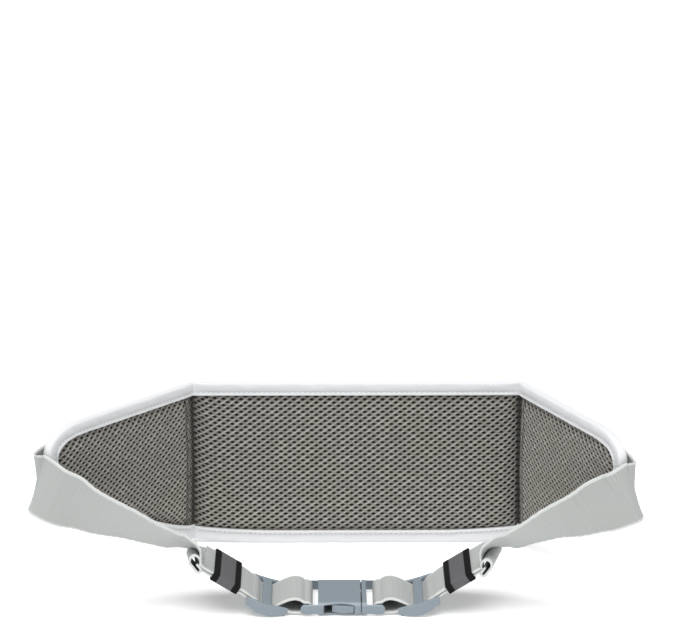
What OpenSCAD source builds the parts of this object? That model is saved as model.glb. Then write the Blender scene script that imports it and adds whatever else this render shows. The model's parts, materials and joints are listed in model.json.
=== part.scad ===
// Waist pack belt: a three-panel zipped pack on adjustable webbing, closed by a side-release
// buckle. It stands on the lower edge of its centre panel, with the buckle lying on the floor.
// +Y points from the pack to the wearer's side, +Z is up, and the floor is at z = 0.

/* [Pack] */
// Half width of the centre panel, out to each side seam
seam_x = 105.5; // [85:0.5:130]
// Height of the pack
pack_h = 109; // [95:1:140]
// Length of each side wing beyond its seam
wing_len = 142; // [120:0.5:175]
// Height of the wing's tip above the bottom edge
tip_h = 87; // [75:1:95]
// Rise of the bottom edge at the side seams
seam_rise = 3; // [1:0.5:6]
// Backward lean of the centre panel
lean = 2.5; // [1:0.5:12]
// Fold of the right wing towards the wearer
fold_right = 53.5; // [40:0.5:70]
// Fold of the left wing towards the wearer
fold_left = 67.5; // [40:0.5:75]
// Width of the edge binding on each face
binding_w = 8.5; // [6:0.5:9]

/* [Layers] */
// Thickness of the spacer mesh
mesh_t = 3; // [2:0.25:4]
// Thickness of the pocket lining
lining_t = 0.8; // [0.4:0.1:1.2]
// Thickness of the pocket fabric
wall_t = 1.3; // [0.8:0.1:1.6]
// Thickness of the pack at its edges and seams
edge_t = 5.5; // [5.5:0.1:8]
// Outward swell of the centre pocket
centre_puff = 8.5; // [7:0.5:10]
// Outward swell of the wing pockets
wing_puff = 3.5; // [2:0.5:4]
// Width of the flat strip beside each seam
seam_flat = 5; // [4:0.5:8]

/* [Zips] */
// Height of the zip line below the top edge
zip_drop = 14.2; // [13.5:0.1:16]
// Width of one zip tape
tape_w = 3.3; // [2.5:0.1:4]
// Width of the dark trim beside each tape
trim_w = 1.9; // [1:0.1:2.5]
// Thickness of the zip tape
tape_t = 0.8; // [0.5:0.1:1]
// Radius of the closed zip's coil
coil_r = 0.9; // [0.6:0.1:1.1]
// Sag of the open centre zip's lower lip
lip_sag = 7.5; // [6:0.5:9]
// How far the open lip stands out from the pack
lip_stand = 3; // [1:0.25:3.5]
// Length of a zip slider
slider_l = 10.5; // [9:0.5:12]
// Width of a zip slider
slider_w = 7; // [6:0.5:8]
// Length of a puller
puller_l = 18.5; // [15:0.5:22]
// Width of a puller
puller_w = 6; // [5:0.5:7]
// Sideways tilt of the two pullers at the left seam
puller_tilt = 12; // [0:1:14]

/* [Webbing] */
// Width of the webbing
web_w = 40; // [35:1:48]
// Thickness of the webbing
web_t = 1.6; // [1.2:0.1:2]
// Gap between two layers of webbing
web_gap = 0.3; // [0.2:0.05:0.5]
// Distance of the buckle's centre line in front of the pack
buckle_y = 108; // [95:1:130]
// Length of the elastic keeper
keeper_l = 19; // [14:1:20]
// Wall of the elastic keeper
keeper_wall = 0.9; // [0.8:0.1:1.4]
// Slope of the webbing at the keeper
keeper_slope = 32; // [26:1:34]
// Slope of the webbing at the slide adjuster
glide_slope = 17; // [12:1:18]
// Forward bulge of the right strap
right_bulge = 19; // [12:1:24]
// Forward bulge of the left strap
left_bulge = 8.5; // [4:0.5:14]

/* [Buckle] */
// Thickness of the buckle
buckle_t = 8.8; // [8:0.2:10]
// Radius of the webbing bars
bar_r = 2.2; // [1.8:0.1:2.4]
// Length of the socket's body, from its mouth to the webbing slot
socket_l = 26.5; // [24:0.5:30]
// Wall of the socket
socket_wall = 1.7; // [1.3:0.1:2]
// Length of the plug's arms inside the socket
arm_l = 18.5; // [16:0.5:20]
// Squeeze clearance around the arms
arm_gap = 0.35; // [0.25:0.05:0.5]

/* [Hidden] */

fabric = [0.90, 0.90, 0.89];
spacer = [0.47, 0.46, 0.44];
webbing = [0.76, 0.77, 0.75];
plastic = [0.57, 0.60, 0.63];
offwhite = [0.93, 0.93, 0.90];
tape = [0.92, 0.92, 0.94];
dark = [0.38, 0.38, 0.39];

eps = 0.05;                                    // gap between faces that are sewn together
floor_cut = 0.45;                              // depth of the flat worn on the bottom edge
lift = edge_t * sin(lean) - floor_cut;         // raises the pack so that the flat is at z = 0
zip_h = pack_h - zip_drop;                     // height of the zip line
zip_half = tape_w + trim_w;                    // zip line to the edge of the pocket fabric
zip_gap = 0.3;                                 // between the two tapes
body_x = seam_x - eps;                         // where the centre panel's pieces end
strip_flange = 3;                              // width of a seam strip's flange
strip_t = 1;                                   // thickness of a seam strip's flange
zip_end = 0.775 * wing_len;                    // outer end of a wing's zip
inner_h = pack_h - binding_w;                  // lower edge of the top binding
lip_reach = 0.71 * seam_x;                     // half length of the part of the lip that stands out
sheet_n = edge_t - wall_t;                     // inner face of the pocket fabric at its edge

// ---- the pack's outline ----

function clamp01(v) = max(0, min(1, v));
function centre_low(x) = seam_rise * pow(clamp01((abs(x) - 50) / (seam_x - 50)), 2);
function wing_base(s) = seam_rise + (tip_h - 20 - seam_rise) * pow(s / (wing_len - 5.5), 1.3);
function wing_low(s, inset = 0) =
    let (end = wing_len - 15.5, w = 15.5 - inset)
    tip_h - (tip_h - wing_base(s) - 1.12 * inset) * sqrt(1 - pow(clamp01((s - end) / w), 2));
function wing_high(s, inset = 0) =
    let (end = wing_len * 0.7, w = wing_len * 0.3 - inset)
    tip_h + (pack_h - inset - tip_h) * pow(1 - pow(clamp01((s - end) / w), 3), 1 / 3);
function lip_drop(x) = lip_sag * pow(sin(180 * clamp01((x + seam_x - 4) / (2 * seam_x - 8))), 0.8);
function lip_h(x) = zip_h - zip_gap / 2 - lip_drop(x);
function lip_out(x) = lip_stand * sin(180 * clamp01((x + lip_reach) / (2 * lip_reach)));
function steps(a, b, n) = [for (i = [0:n]) a + (b - a) * i / n];
// stations that crowd towards the rounded wing tip
function wing_steps(inset) = [for (t = steps(0, 90, 20)) (wing_len - inset) * sin(t)];

// ---- places ----

module on_panel() translate([0, 0, lift]) rotate([lean, 0, 0]) children();
module on_wing(fold) on_panel() translate([seam_x, 0, 0]) rotate([0, 0, fold]) children();
module on_right_wing() on_wing(fold_right) children();
module on_left_wing() mirror([1, 0, 0]) on_wing(fold_left) children();
// face frame: x along the panel, y up it, z out of its front
module on_face(s, n, h) translate([s, n, h]) rotate([90, 0, 0]) children();

function panel_pt(x, n, h) =
    [x, n * cos(lean) - h * sin(lean), n * sin(lean) + h * cos(lean) + lift];
function wing_pt(fold, s, n, h) =
    panel_pt(seam_x + s * cos(fold) - n * sin(fold), s * sin(fold) + n * cos(fold), h);

// a flat layer of the pack between two depths behind the wearer's face
module layer(front, back) rotate([90, 0, 0]) translate([0, 0, back]) linear_extrude(front - back) children();

module centre_shape(inset) {
    xs = steps(-body_x, body_x, 24);
    polygon(concat([for (x = xs) [x, centre_low(x) + inset]],
                   [[body_x, pack_h - inset], [-body_x, pack_h - inset]]));
}

module wing_shape(inset) {
    ss = wing_steps(inset);
    n = len(ss) - 1;
    polygon(concat([for (s = ss) [max(s, eps), wing_low(s, inset)]],
                   [for (i = [n - 1:-1:0]) [max(ss[i], eps), wing_high(ss[i], inset)]]));
}

// ---- mesh, lining and binding ----

module centre_mesh() color(spacer) on_panel() layer(mesh_t, 0) centre_shape(binding_w);
module wing_mesh() color(spacer) layer(mesh_t, 0) wing_shape(binding_w);
module left_mesh() on_left_wing() wing_mesh();
module right_mesh() on_right_wing() wing_mesh();

module lining_layer() layer(mesh_t + eps + lining_t, mesh_t + eps) children();
module centre_lining() color(fabric) on_panel() lining_layer() centre_shape(binding_w);
module left_lining() color(fabric) on_left_wing() lining_layer() wing_shape(binding_w);
module right_lining() color(fabric) on_right_wing() lining_layer() wing_shape(binding_w);

// the wedge of padding that fills the outside of a fold, joined a little into its wing
module fold_wedge(fold, radius, low, high) translate([0, 0, low]) rotate([0, 0, -90])
    rotate_extrude(angle = fold + 0.4, $fn = 64) translate([0.4, 0]) square([radius - 0.4, high - low]);

module centre_binding() color(fabric) difference() {
    on_panel() layer(edge_t, 0) difference() {
        centre_shape(0);
        scale([1.01, 1]) centre_shape(binding_w);
    }
    // worn flat where it stands on the floor
    translate([-2 * seam_x, -60, -20]) cube([4 * seam_x, 120, 20]);
}

module wing_binding(fold) color(fabric) {
    layer(edge_t, 0) difference() {
        wing_shape(0);
        wing_shape(binding_w);
        translate([-1, wing_low(0, binding_w)]) square([2, wing_high(0, binding_w) - wing_low(0, binding_w)]);
    }
    rotate([0, 0, -fold]) {
        fold_wedge(fold, edge_t, seam_rise, seam_rise + binding_w);
        fold_wedge(fold, edge_t, inner_h, pack_h);
    }
}
module left_binding() on_left_wing() wing_binding(fold_left);
module right_binding() on_right_wing() wing_binding(fold_right);

// a point of the fold's section: r out from its axis, turned round it, and s along the panel from there
function fold_pt(r, turn, s = 0) = [r * sin(turn) + s * cos(turn), s * sin(turn) - r * cos(turn)];

// the vertical fabric strip that covers a fold
module seam_strip(fold) color(fabric) rotate([0, 0, -fold]) {
    low = seam_rise + 1.12 * binding_w + eps;
    outer = edge_t + strip_t;
    inner = edge_t + eps;
    translate([0, 0, low]) linear_extrude(inner_h - eps - low) polygon(concat(
        [fold_pt(outer, 0, -strip_flange)],
        [for (turn = steps(0, fold, 12)) fold_pt(outer, turn)],
        [fold_pt(outer, fold, strip_flange), fold_pt(inner, fold, strip_flange), fold_pt(inner, fold)],
        [for (turn = steps(fold, 0, 4)) fold_pt(0.4, turn)],
        [fold_pt(inner, 0), fold_pt(inner, 0, -strip_flange)]));
}
module left_seam_strip() on_left_wing() seam_strip(fold_left);
module right_seam_strip() on_right_wing() seam_strip(fold_right);

// ---- pocket fronts ----

function puff_u(u) = pow(sin(180 * clamp01(u)), 0.5);
function puff_v(v) = pow(sin(180 * pow(clamp01(v), 0.6)), 1.2);

// a curved sheet of constant thickness: low, high and depth are functions of the place
module swelled_sheet(xs, low, high, depth, rows, back_n = sheet_n, thick = wall_t) {
    cols = len(xs);
    grid = [for (x = xs) for (j = [0:rows])
        let (h = low(x) + (high(x) - low(x)) * j / rows) [x, -back_n - depth(x, h), h]];
    count = len(grid);
    outer = [for (p = grid) [p[0], p[1] - thick, p[2]]];
    function id(i, j) = i * (rows + 1) + j;
    across = [for (i = [0:cols - 2]) for (j = [0:rows - 1])
        [id(i, j), id(i, j + 1), id(i + 1, j + 1), id(i + 1, j)]];
    ends = [for (j = [0:rows - 1]) for (i = [0, cols - 1])
        i == 0 ? [id(0, j), count + id(0, j), count + id(0, j + 1), id(0, j + 1)]
               : [id(i, j + 1), count + id(i, j + 1), count + id(i, j), id(i, j)]];
    rims = [for (i = [0:cols - 2]) for (j = [0, rows])
        j == 0 ? [id(i + 1, 0), count + id(i + 1, 0), count + id(i, 0), id(i, 0)]
               : [id(i, rows), count + id(i, rows), count + id(i + 1, rows), id(i + 1, rows)]];
    halves = function (f) [[f[2], f[1], f[0]], [f[3], f[2], f[0]]];
    back = [for (f = across) each halves(f)];
    front = [for (f = back) [count + f[2], count + f[1], count + f[0]]];
    sides = [for (f = concat(ends, rims)) each halves(f)];
    polyhedron(concat(grid, outer), concat(back, front, sides));
}

function centre_v(x, h) = (h - centre_low(x) - binding_w) / (lip_h(x) - zip_half - centre_low(x) - binding_w);
function centre_depth(x, h) =
    centre_puff * puff_u((x + seam_x - seam_flat) / (2 * (seam_x - seam_flat))) * puff_v(centre_v(x, h))
    + lip_out(x) * pow(clamp01(centre_v(x, h)), 1.5);

module centre_pocket() color(fabric) on_panel() swelled_sheet(
    concat([-body_x], steps(-seam_x + seam_flat, seam_x - seam_flat, 26), [body_x]),
    function (x) centre_low(x) + binding_w + eps,
    function (x) lip_h(x) - zip_half - eps,
    function (x, h) centre_depth(x, h), 12);

wing_pocket_top = zip_h - zip_half;
function wing_v(s, h) = (h - wing_low(s, binding_w)) / (wing_pocket_top - wing_low(s, binding_w));
function wing_depth(s, h) =
    wing_puff * puff_u((s - seam_flat) / (zip_end - 2 * seam_flat)) * puff_v(wing_v(s, h));

module wing_pocket() color(fabric) swelled_sheet(
    concat([eps], steps(seam_flat, zip_end - seam_flat, 14), [zip_end], steps(zip_end + 1, wing_len - binding_w - 1.5, 6)),
    function (s) wing_low(s, binding_w) + 0.3,
    // past the zip's end the same fabric carries on up to the binding
    function (s) (s > zip_end + 0.5 ? wing_high(s, binding_w) - 0.3 : wing_pocket_top - eps),
    function (s, h) wing_depth(s, h), 8);
module left_pocket() on_left_wing() wing_pocket();
module right_pocket() on_right_wing() wing_pocket();

// ---- zips ----

// a band that follows the open lip, between two drops below its edge
module lip_band(low, high, front, back) {
    end = seam_x - strip_flange - 0.2;
    swelled_sheet(steps(-end, end, 40), function (x) lip_h(x) - high, function (x) lip_h(x) - low,
                  function (x, h) lip_out(x), 1, back, front - back);
}
module flat_band(x0, x1, low, high, front, back) layer(front, back)
    translate([x0, low]) square([x1 - x0, high - low]);

tape_n = edge_t - tape_t;
trim_n = edge_t + 0.2;
upper_tape_h = zip_h + zip_gap / 2;
centre_end = seam_x - strip_flange - 0.2;

module centre_zip_upper_tape() color(tape) on_panel()
    flat_band(-centre_end, centre_end, upper_tape_h, upper_tape_h + tape_w, edge_t, tape_n);
module centre_zip_lower_tape() color(tape) on_panel() lip_band(0, tape_w, edge_t, tape_n);
module centre_zip_trim() color(dark) on_panel() {
    flat_band(-centre_end, centre_end, upper_tape_h + tape_w + eps, inner_h - eps, trim_n, tape_n);
    lip_band(tape_w + eps, zip_half - eps, trim_n, tape_n);
}

module wing_zip_tape() color(tape) {
    start = strip_flange + 0.2;
    flat_band(start, zip_end, zip_h - tape_w - zip_gap / 2, upper_tape_h + tape_w, edge_t, tape_n);
    translate([start, -edge_t, zip_h]) rotate([0, 90, 0]) cylinder(h = zip_end - start, r = coil_r, $fn = 24);
}
module wing_zip_trim() color(dark) {
    start = strip_flange + 0.2;
    layer(trim_n, tape_n) intersection() {
        translate([start, upper_tape_h + tape_w + eps]) square([zip_end - start, trim_w]);
        wing_shape(binding_w + 0.2);
    }
    flat_band(start, zip_end, zip_h - zip_half, zip_h - tape_w - zip_gap / 2 - eps, trim_n, tape_n);
}
module left_zip_tape() on_left_wing() wing_zip_tape();
module right_zip_tape() on_right_wing() wing_zip_tape();
module left_zip_trim() on_left_wing() wing_zip_trim();
module right_zip_trim() on_right_wing() wing_zip_trim();

slider_clear = 0.25;                           // slider above the tape
slider_t = 3;                                  // thickness of the slider's plate
slider_top = slider_clear + slider_t;
bail_r = 2.6;                                  // bend radius of the slider's bail
bail_wire = 0.55;                              // radius of the bail's wire
pin_r = 0.6;                                   // radius of the puller's cross bar
pin_z = slider_top + 0.2 + pin_r;              // height of the puller's hinge
slider_margin = strip_flange + 0.9 + slider_l / 2;
left_slider_s = slider_margin;                 // closed, at the seam
right_slider_s = zip_end - slider_l / 2 - 1;   // closed, at the wing's outer end
centre_slider_x = -(seam_x - slider_margin);   // open, at the left seam

// slider in the face frame: a tapered plate with a tunnel for the coil, and the bail above it
module zip_slider() color(offwhite) {
    difference() {
        translate([0, 0, slider_clear]) linear_extrude(slider_t) {
            translate([slider_l / 2 - slider_w / 2, 0]) circle(d = slider_w, $fn = 48);
            translate([-slider_l / 2 + slider_w * 0.35, 0]) circle(d = slider_w * 0.7, $fn = 48);
            polygon([[-slider_l / 2 + slider_w * 0.35, -slider_w * 0.35],
                     [slider_l / 2 - slider_w / 2, -slider_w / 2],
                     [slider_l / 2 - slider_w / 2, slider_w / 2],
                     [-slider_l / 2 + slider_w * 0.35, slider_w * 0.35]]);
        }
        translate([-slider_l, -coil_r - 0.35, 0]) cube([2 * slider_l, 2 * coil_r + 0.7, coil_r + 0.3]);
    }
    translate([0, 0, slider_top - 0.3]) rotate([90, 0, 90])
        rotate_extrude(angle = 180, $fn = 48) translate([bail_r, 0]) circle(r = bail_wire, $fn = 24);
}

// puller in its own frame: the cross bar lies on x, and the tab hangs down -y
module zip_puller() color(offwhite) {
    eye = 3.6;
    rotate([0, 90, 0]) translate([0, 0, -puller_w / 2]) cylinder(h = puller_w, r = pin_r, $fn = 24);
    translate([0, 0, -pin_r]) linear_extrude(2 * pin_r) difference() {
        union() {
            translate([-puller_w / 2, -puller_l + puller_w / 4]) square([puller_w, puller_l - puller_w / 4]);
            for (side = [-1, 1]) translate([side * puller_w / 4, -puller_l + puller_w / 4])
                circle(d = puller_w / 2, $fn = 32);
            translate([-puller_w / 4, -puller_l]) square([puller_w / 2, puller_w / 4]);
        }
        translate([-puller_w / 2 + 1.3, -eye]) square([puller_w - 2.6, eye]);
        translate([-puller_w / 2 + 1.7, -puller_l + 3]) square([puller_w - 3.4, 1.2]);
    }
}
// a puller hangs straight down, a little away from the leaning panel
function hang(fold) = asin(cos(fold) * sin(lean));
module hung_puller(fold, tilt) translate([0, 0, pin_z]) rotate([-hang(fold), 0, 0])
    rotate([0, 0, tilt]) zip_puller();

module left_zip_slider() on_left_wing() on_face(left_slider_s, -edge_t, zip_h) mirror([1, 0, 0]) zip_slider();
module right_zip_slider() on_right_wing() on_face(right_slider_s, -edge_t, zip_h) zip_slider();
module centre_zip_slider() on_panel() on_face(centre_slider_x, -edge_t, zip_h) zip_slider();
module left_zip_puller() on_left_wing() on_face(left_slider_s, -edge_t, zip_h)
    hung_puller(fold_left, -puller_tilt);
module right_zip_puller() on_right_wing() on_face(right_slider_s, -edge_t, zip_h) hung_puller(fold_right, 0);
module centre_zip_puller() on_panel() on_face(centre_slider_x, -edge_t, zip_h)
    hung_puller(0, -puller_tilt);

// ---- earphone port ----

port_x = -74;                                  // middle of the port
port_w = 21.5;                                 // width of its rounded triangle
port_tall = 23.5;
port_h = 69.5;
port_t = 1.2;
port_gap = 0.55;                               // its back above the middle of the curved pocket

module port_outline() {
    corner = 4.6;
    hull() {
        for (side = [-1, 1]) translate([side * (port_w / 2 - corner), -port_tall / 2 + corner])
            circle(r = corner, $fn = 32);
        translate([0, port_tall / 2 - corner]) circle(r = corner, $fn = 32);
    }
}
module earphone_port() color([0.08, 0.08, 0.09]) on_panel() {
    d = 6;
    slope_x = atan((centre_depth(port_x + d, port_h) - centre_depth(port_x - d, port_h)) / (2 * d));
    slope_h = atan((centre_depth(port_x, port_h + d) - centre_depth(port_x, port_h - d)) / (2 * d));
    ring_y = -1.8;
    on_face(port_x, -edge_t - centre_depth(port_x, port_h), port_h)
        rotate([slope_h, 0, 0]) rotate([0, -slope_x, 0]) translate([0, 0, port_gap]) difference() {
            union() {
                linear_extrude(port_t) port_outline();
                translate([0, ring_y, port_t]) difference() {
                    cylinder(h = 0.5, r = 7.8, $fn = 64);
                    translate([0, 0, -1]) cylinder(h = 3, r = 6.3, $fn = 64);
                }
            }
            for (turn = [0, 90]) translate([0, ring_y, 0]) rotate([0, 0, turn])
                translate([-5.5, -0.3, -1]) cube([11, 0.6, 4]);
        }
}

// ---- webbing ----

layer_step = web_t + web_gap;                  // between the middles of two layers
loop_r = bar_r + web_gap + web_t / 2;          // webbing's middle round a bar
bar_z = buckle_t / 2 + 0.6;                    // height of both webbing bars
plug_base_l = 15.5;                            // plug's base, from the socket's mouth to its ears
mouth_x = -1.9;                                // socket's mouth
slot_l = 5.2;                                  // webbing slot beside a bar
socket_bar_x = mouth_x + socket_l + slot_l + bar_r;
plug_bar_x = -mouth_x + 3 + slot_l + bar_r + 1;    // counted along -x
glide_d = 25;                                  // bar to the middle of the slide adjuster
glide_z = 5.4;                                 // height of the slide adjuster's middle
keep_d = 39;                                   // bar to the start of the straight run
straight_end_d = 63;                           // bar to the end of the straight run
keeper_d = 49.3;                               // bar to the keeper's middle at rest
keep_z = 16.2;                                 // height of the webbing where the straight run starts

function keep_line(d) = [d, 0, keep_z + (d - keep_d) * tan(keeper_slope)];
keep_up = [-sin(keeper_slope), 0, cos(keeper_slope)];
glide_x = [cos(glide_slope), 0, sin(glide_slope)];
glide_up = [-sin(glide_slope), 0, cos(glide_slope)];
function glide_pt(a, z) = [glide_d, 0, glide_z] + a * glide_x + z * glide_up;

// the slide adjuster, measured from its middle
glide_l = 27;
end_bar_a = 10.4;                              // middle to the end bars
end_bar_w = 5;
end_bar_t = 2.4;
end_bar_z = -0.9;                              // middle of an end bar
mid_bar_w = 6;
mid_bar_t = 2.2;
mid_bar_z = web_t / 2 + 0.2 + mid_bar_t / 2;   // the main layer's middle runs below it, at 0
tail_over = end_bar_z + end_bar_t / 2 + 0.25 + web_t / 2;
main_over = tail_over + layer_step;
over_a = end_bar_a - end_bar_w / 2 - 0.7;      // where the webbing climbs over an end bar
over_z = 0.62 * tail_over;
mid_a = mid_bar_w / 2 + 0.4;                   // where it passes the middle bar

function unit(v) = v / norm(v);

// stations are [point, direction across the webbing]; points are counted from the bar
tip_s = wing_len + 0.3;                        // where the webbing leaves the wing
root_s = zip_end + 2;
root_n = -edge_t - web_t / 2 - 0.3;
root_h = tip_h - 2;
root_drop = 8.5;                               // fall of the webbing along the wing
lean_out = 8.5;                                // swing of its lower edge away from the wing's end
tip_drop = 4;

// run from the keeper to the wing's end: share of the way, share of the bulge, rise, lean of the
// webbing towards the wearer, and flare of its lower edge
run = [[0.05, -0.04, 3.4, 65.3, 0], [0.13, -0.03, 3.5, 59.1, 0], [0.22, 0.09, 2.1, 54.8, 0],
       [0.34, 0.32, 2.6, 48.2, 0], [0.49, 0.5, 3.5, 38.1, 0], [0.65, 0.52, 2.4, 26.7, 0],
       [0.77, 0.46, 2.4, 14.5, 0], [0.88, 0.48, 2.2, 10, 20]];
// round the wing's end, counted from where the webbing leaves it: step outwards, share of the
// bulge, fall, lean and flare
corner = [[-5.3, 0.2, 3.6, 10.6, 34], [-2.1, 0.05, 1.7, 10.5, 26]];

function strap_main(fold, bar_x, bulge) =
    let (origin = [bar_x, buckle_y, 0],
         // along the wing the upper edge stays by the fabric while the lower edge swings out
         sewn = function (t) let (a = lean_out * t * t)
             [wing_pt(fold, root_s + t * (tip_s - root_s), root_n - web_w / 2 * sin(a), root_h - root_drop * t) - origin,
              wing_pt(fold, 0, sin(a), cos(a)) - wing_pt(fold, 0, 0, 0)],
         end = sewn(1),
         start = keep_line(straight_end_d),
         way = end[0] - [0, 0, tip_drop] - start,
         place = function (k) start + k[0] * way + [0, k[1] * bulge, k[2]],
         across = function (lean, flare) [-sin(flare), sin(lean), cos(lean)])
    concat([for (t = [0, 0.35, 0.7, 1]) sewn(t)],
           smooth(concat(
               [for (i = [len(corner) - 1:-1:0]) let (k = corner[i])
                   [end[0] + [k[0], 3.2 + k[1] * bulge, -k[2]], across(k[3], k[4])]],
               [for (i = [len(run) - 1:-1:0]) [place(run[i]), across(run[i][3], run[i][4])]]),
               end, [start, [0, 1, 0]]),
           [for (d = [straight_end_d, straight_end_d - 1.5, 56, 50, 45, keep_d]) [keep_line(d), [0, 1, 0]]],
           [for (p = [[end_bar_a + 2.4, main_over + 1.6], [end_bar_a, main_over + 0.5], [over_a, over_z + layer_step],
                      [mid_a, 0], [0, 0], [-mid_a, 0.15], [-6, 2.4]]) [glide_pt(p[0], p[1]), [0, 1, 0]]]);

// points and directions filled in between stations by a Catmull-Rom curve
function catmull(a, b, c, d, t) =
    0.5 * (2 * b + (c - a) * t + (2 * a - 5 * b + 4 * c - d) * t * t + (3 * b - a - 3 * c + d) * t * t * t);
function smooth(mid, before, after) =
    let (k = concat([before], mid, [after]), n = len(k))
    [for (i = [0:n - 2]) for (t = i == 0 ? [0.25, 0.5, 0.75] : [0, 0.333, 0.667])
        let (a = k[max(i - 1, 0)], d = k[min(i + 2, n - 1)])
        [catmull(a[0], k[i][0], k[i + 1][0], d[0], t), catmull(a[1], k[i][1], k[i + 1][1], d[1], t)]];

// the hump in front of the bar, then round the bar and back under it
hump = [[14.6, 3.3], [10.6, 5.0], [7, 5.7], [3.5, 5.0]];
function strap_loop() =
    concat([for (p = hump) [[p[0], 0, bar_z + p[1]], [0, 1, 0]]],
           [for (a = steps(75, 270, 11)) [[loop_r * cos(a), 0, bar_z + loop_r * sin(a)], [0, 1, 0]]],
           [for (p = [[5, 0.1], [9.5, 0.3]]) [[p[0], 0, bar_z - loop_r + p[1]], [0, 1, 0]]]);

// width and normal at every station
function framed(stations) =
    let (n = len(stations))
    [for (i = [0:n - 1])
        let (a = stations[max(i - 1, 0)][0], b = stations[min(i + 1, n - 1)][0],
             t = unit(b - a), w = unit(stations[i][1] - (stations[i][1] * t) * t))
        [stations[i][0], w, cross(w, t)]];

// the free end runs back below the main layer, and its hem is folded under
hem_end = 66.8;                                // bar to the outer end of its straight part
hem_r = 3.3;                                   // radius of the folded hem
hem_l = 5.6;
tuck_r = 1.5;                                  // radius of the edge tucked inside it
function strap_tail(main) =
    let (frames = framed(main),
         near = [for (i = [len(main) - 1:-1:0]) if (main[i][0][0] > keep_d - 0.1 && main[i][0][0] < hem_end) frames[i]],
         last = near[len(near) - 1], before = near[len(near) - 2],
         t = unit(last[0] - before[0]), up = last[2] * sign(last[2][2]), w = last[1],
         hem = last[0] - (layer_step + hem_r) * up,
         tuck = hem - (hem_r - tuck_r) * up - hem_l * t)
    concat([for (p = [[-end_bar_a, tail_over + 0.2], [-over_a, over_z], [-mid_a, -layer_step], [0, -layer_step],
                      [mid_a, -layer_step], [over_a, over_z], [end_bar_a, tail_over + 0.5]])
               [glide_pt(p[0], p[1]), [0, 1, 0]]],
           [for (f = near) [f[0] - layer_step * f[2] * sign(f[2][2]), f[1]]],
           [for (a = steps(60, -90, 7)) [hem + hem_r * (cos(a) * t + sin(a) * up), w]],
           [for (a = steps(-90, -270, 6)) [tuck + tuck_r * (cos(a) * t + sin(a) * up), w]],
           [[tuck + tuck_r * up + 3.5 * t, w]]);

// a ribbon of rectangular section swept along its stations
module ribbon(stations) {
    n = len(stations);
    points = [for (f = framed(stations)) let (w = f[1] * web_w / 2, u = f[2] * web_t / 2)
        each [f[0] - w - u, f[0] + w - u, f[0] + w + u, f[0] - w + u]];
    walls = [for (i = [0:n - 2]) for (k = [0:3])
        let (a = 4 * i + k, b = 4 * i + (k + 1) % 4) each [[a, b, b + 4], [a, b + 4, a + 4]]];
    last = 4 * (n - 1);
    caps = [[0, 2, 1], [0, 3, 2], [last, last + 1, last + 2], [last, last + 2, last + 3]];
    polyhedron(points, concat(walls, caps));
}

module strap(fold, bar_x, bulge) color(webbing) translate([bar_x, buckle_y, 0]) {
    main = strap_main(fold, bar_x, bulge);
    ribbon(concat(main, strap_loop(), strap_tail(main)));
}
module right_strap() strap(fold_right, socket_bar_x, right_bulge);
module left_strap() mirror([1, 0, 0]) strap(fold_left, plug_bar_x, left_bulge);

// elastic sleeve round both layers
keeper_clear = 0.35;
module keeper(bar_x) color([0.2, 0.2, 0.21]) {
    inner_w = web_w + 2 * keeper_clear;
    inner_t = layer_step + web_t + 2 * keeper_clear;
    mid = keep_line(keeper_d) - layer_step / 2 * keep_up;
    translate([bar_x, buckle_y, 0] + mid) rotate([0, -keeper_slope, 0]) rotate([90, 0, 90])
        translate([0, 0, -keeper_l / 2]) linear_extrude(keeper_l) difference() {
            rounded_slot(inner_w + 2 * keeper_wall, inner_t + 2 * keeper_wall, keeper_wall);
            square([inner_w, inner_t], center = true);
        }
}
module rounded_slot(w, h, r) {
    square([w - 2 * r, h], center = true);
    square([w, h - 2 * r], center = true);
    for (x = [-1, 1], y = [-1, 1]) translate([x * (w / 2 - r), y * (h / 2 - r)]) circle(r = r, $fn = 32);
}
module right_keeper() keeper(socket_bar_x);
module left_keeper() mirror([1, 0, 0]) keeper(plug_bar_x);

// ---- slide adjuster ----

rail_y = web_w / 2 + 0.6;                      // inner face of its side rails
rail_t = 2.8;
rail_top = 3.9;
rail_low = -4.1;

module slide_adjuster(bar_x) color(plastic) translate([bar_x + glide_d, buckle_y, glide_z])
    rotate([0, -glide_slope, 0]) {
        for (side = [-1, 1]) {
            translate([side * end_bar_a, 0, end_bar_z]) rounded_bar(end_bar_w, end_bar_t);
            glide_rail(side);
        }
        translate([0, 0, mid_bar_z]) rounded_bar(mid_bar_w, mid_bar_t);
    }
// bar across the adjuster, rounded along both long edges
module rounded_bar(w, t) rotate([90, 0, 0]) linear_extrude(2 * rail_y + 0.4, center = true) {
    square([w - t, t], center = true);
    for (side = [-1, 1]) translate([side * (w - t) / 2, 0]) circle(d = t, $fn = 32);
}
// side rail: boat-shaped from the side, with a hollow top edge, and bowed outwards from above
module glide_rail(side) intersection() {
    translate([0, side * rail_y, 0]) rotate([90, 0, 0]) linear_extrude(2 * rail_t, center = true) difference() {
        intersection() {
            translate([0, rail_low + 22]) circle(r = 22, $fn = 128);
            translate([-glide_l / 2, rail_low - 1]) square([glide_l, rail_top - rail_low + 1]);
        }
        translate([0, rail_top + 60 - 0.6]) circle(r = 60, $fn = 256);
    }
    translate([0, side * rail_y, rail_low - 2]) linear_extrude(rail_top - rail_low + 4) intersection() {
        translate([0, side * (rail_t - 40)]) circle(r = 40, $fn = 128);
        translate([-glide_l / 2, side > 0 ? 0 : -rail_t]) square([glide_l, rail_t]);
    }
}
module right_slide_adjuster() slide_adjuster(socket_bar_x);
module left_slide_adjuster() mirror([1, 0, 0]) slide_adjuster(plug_bar_x);

// ---- side-release buckle ----

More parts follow.
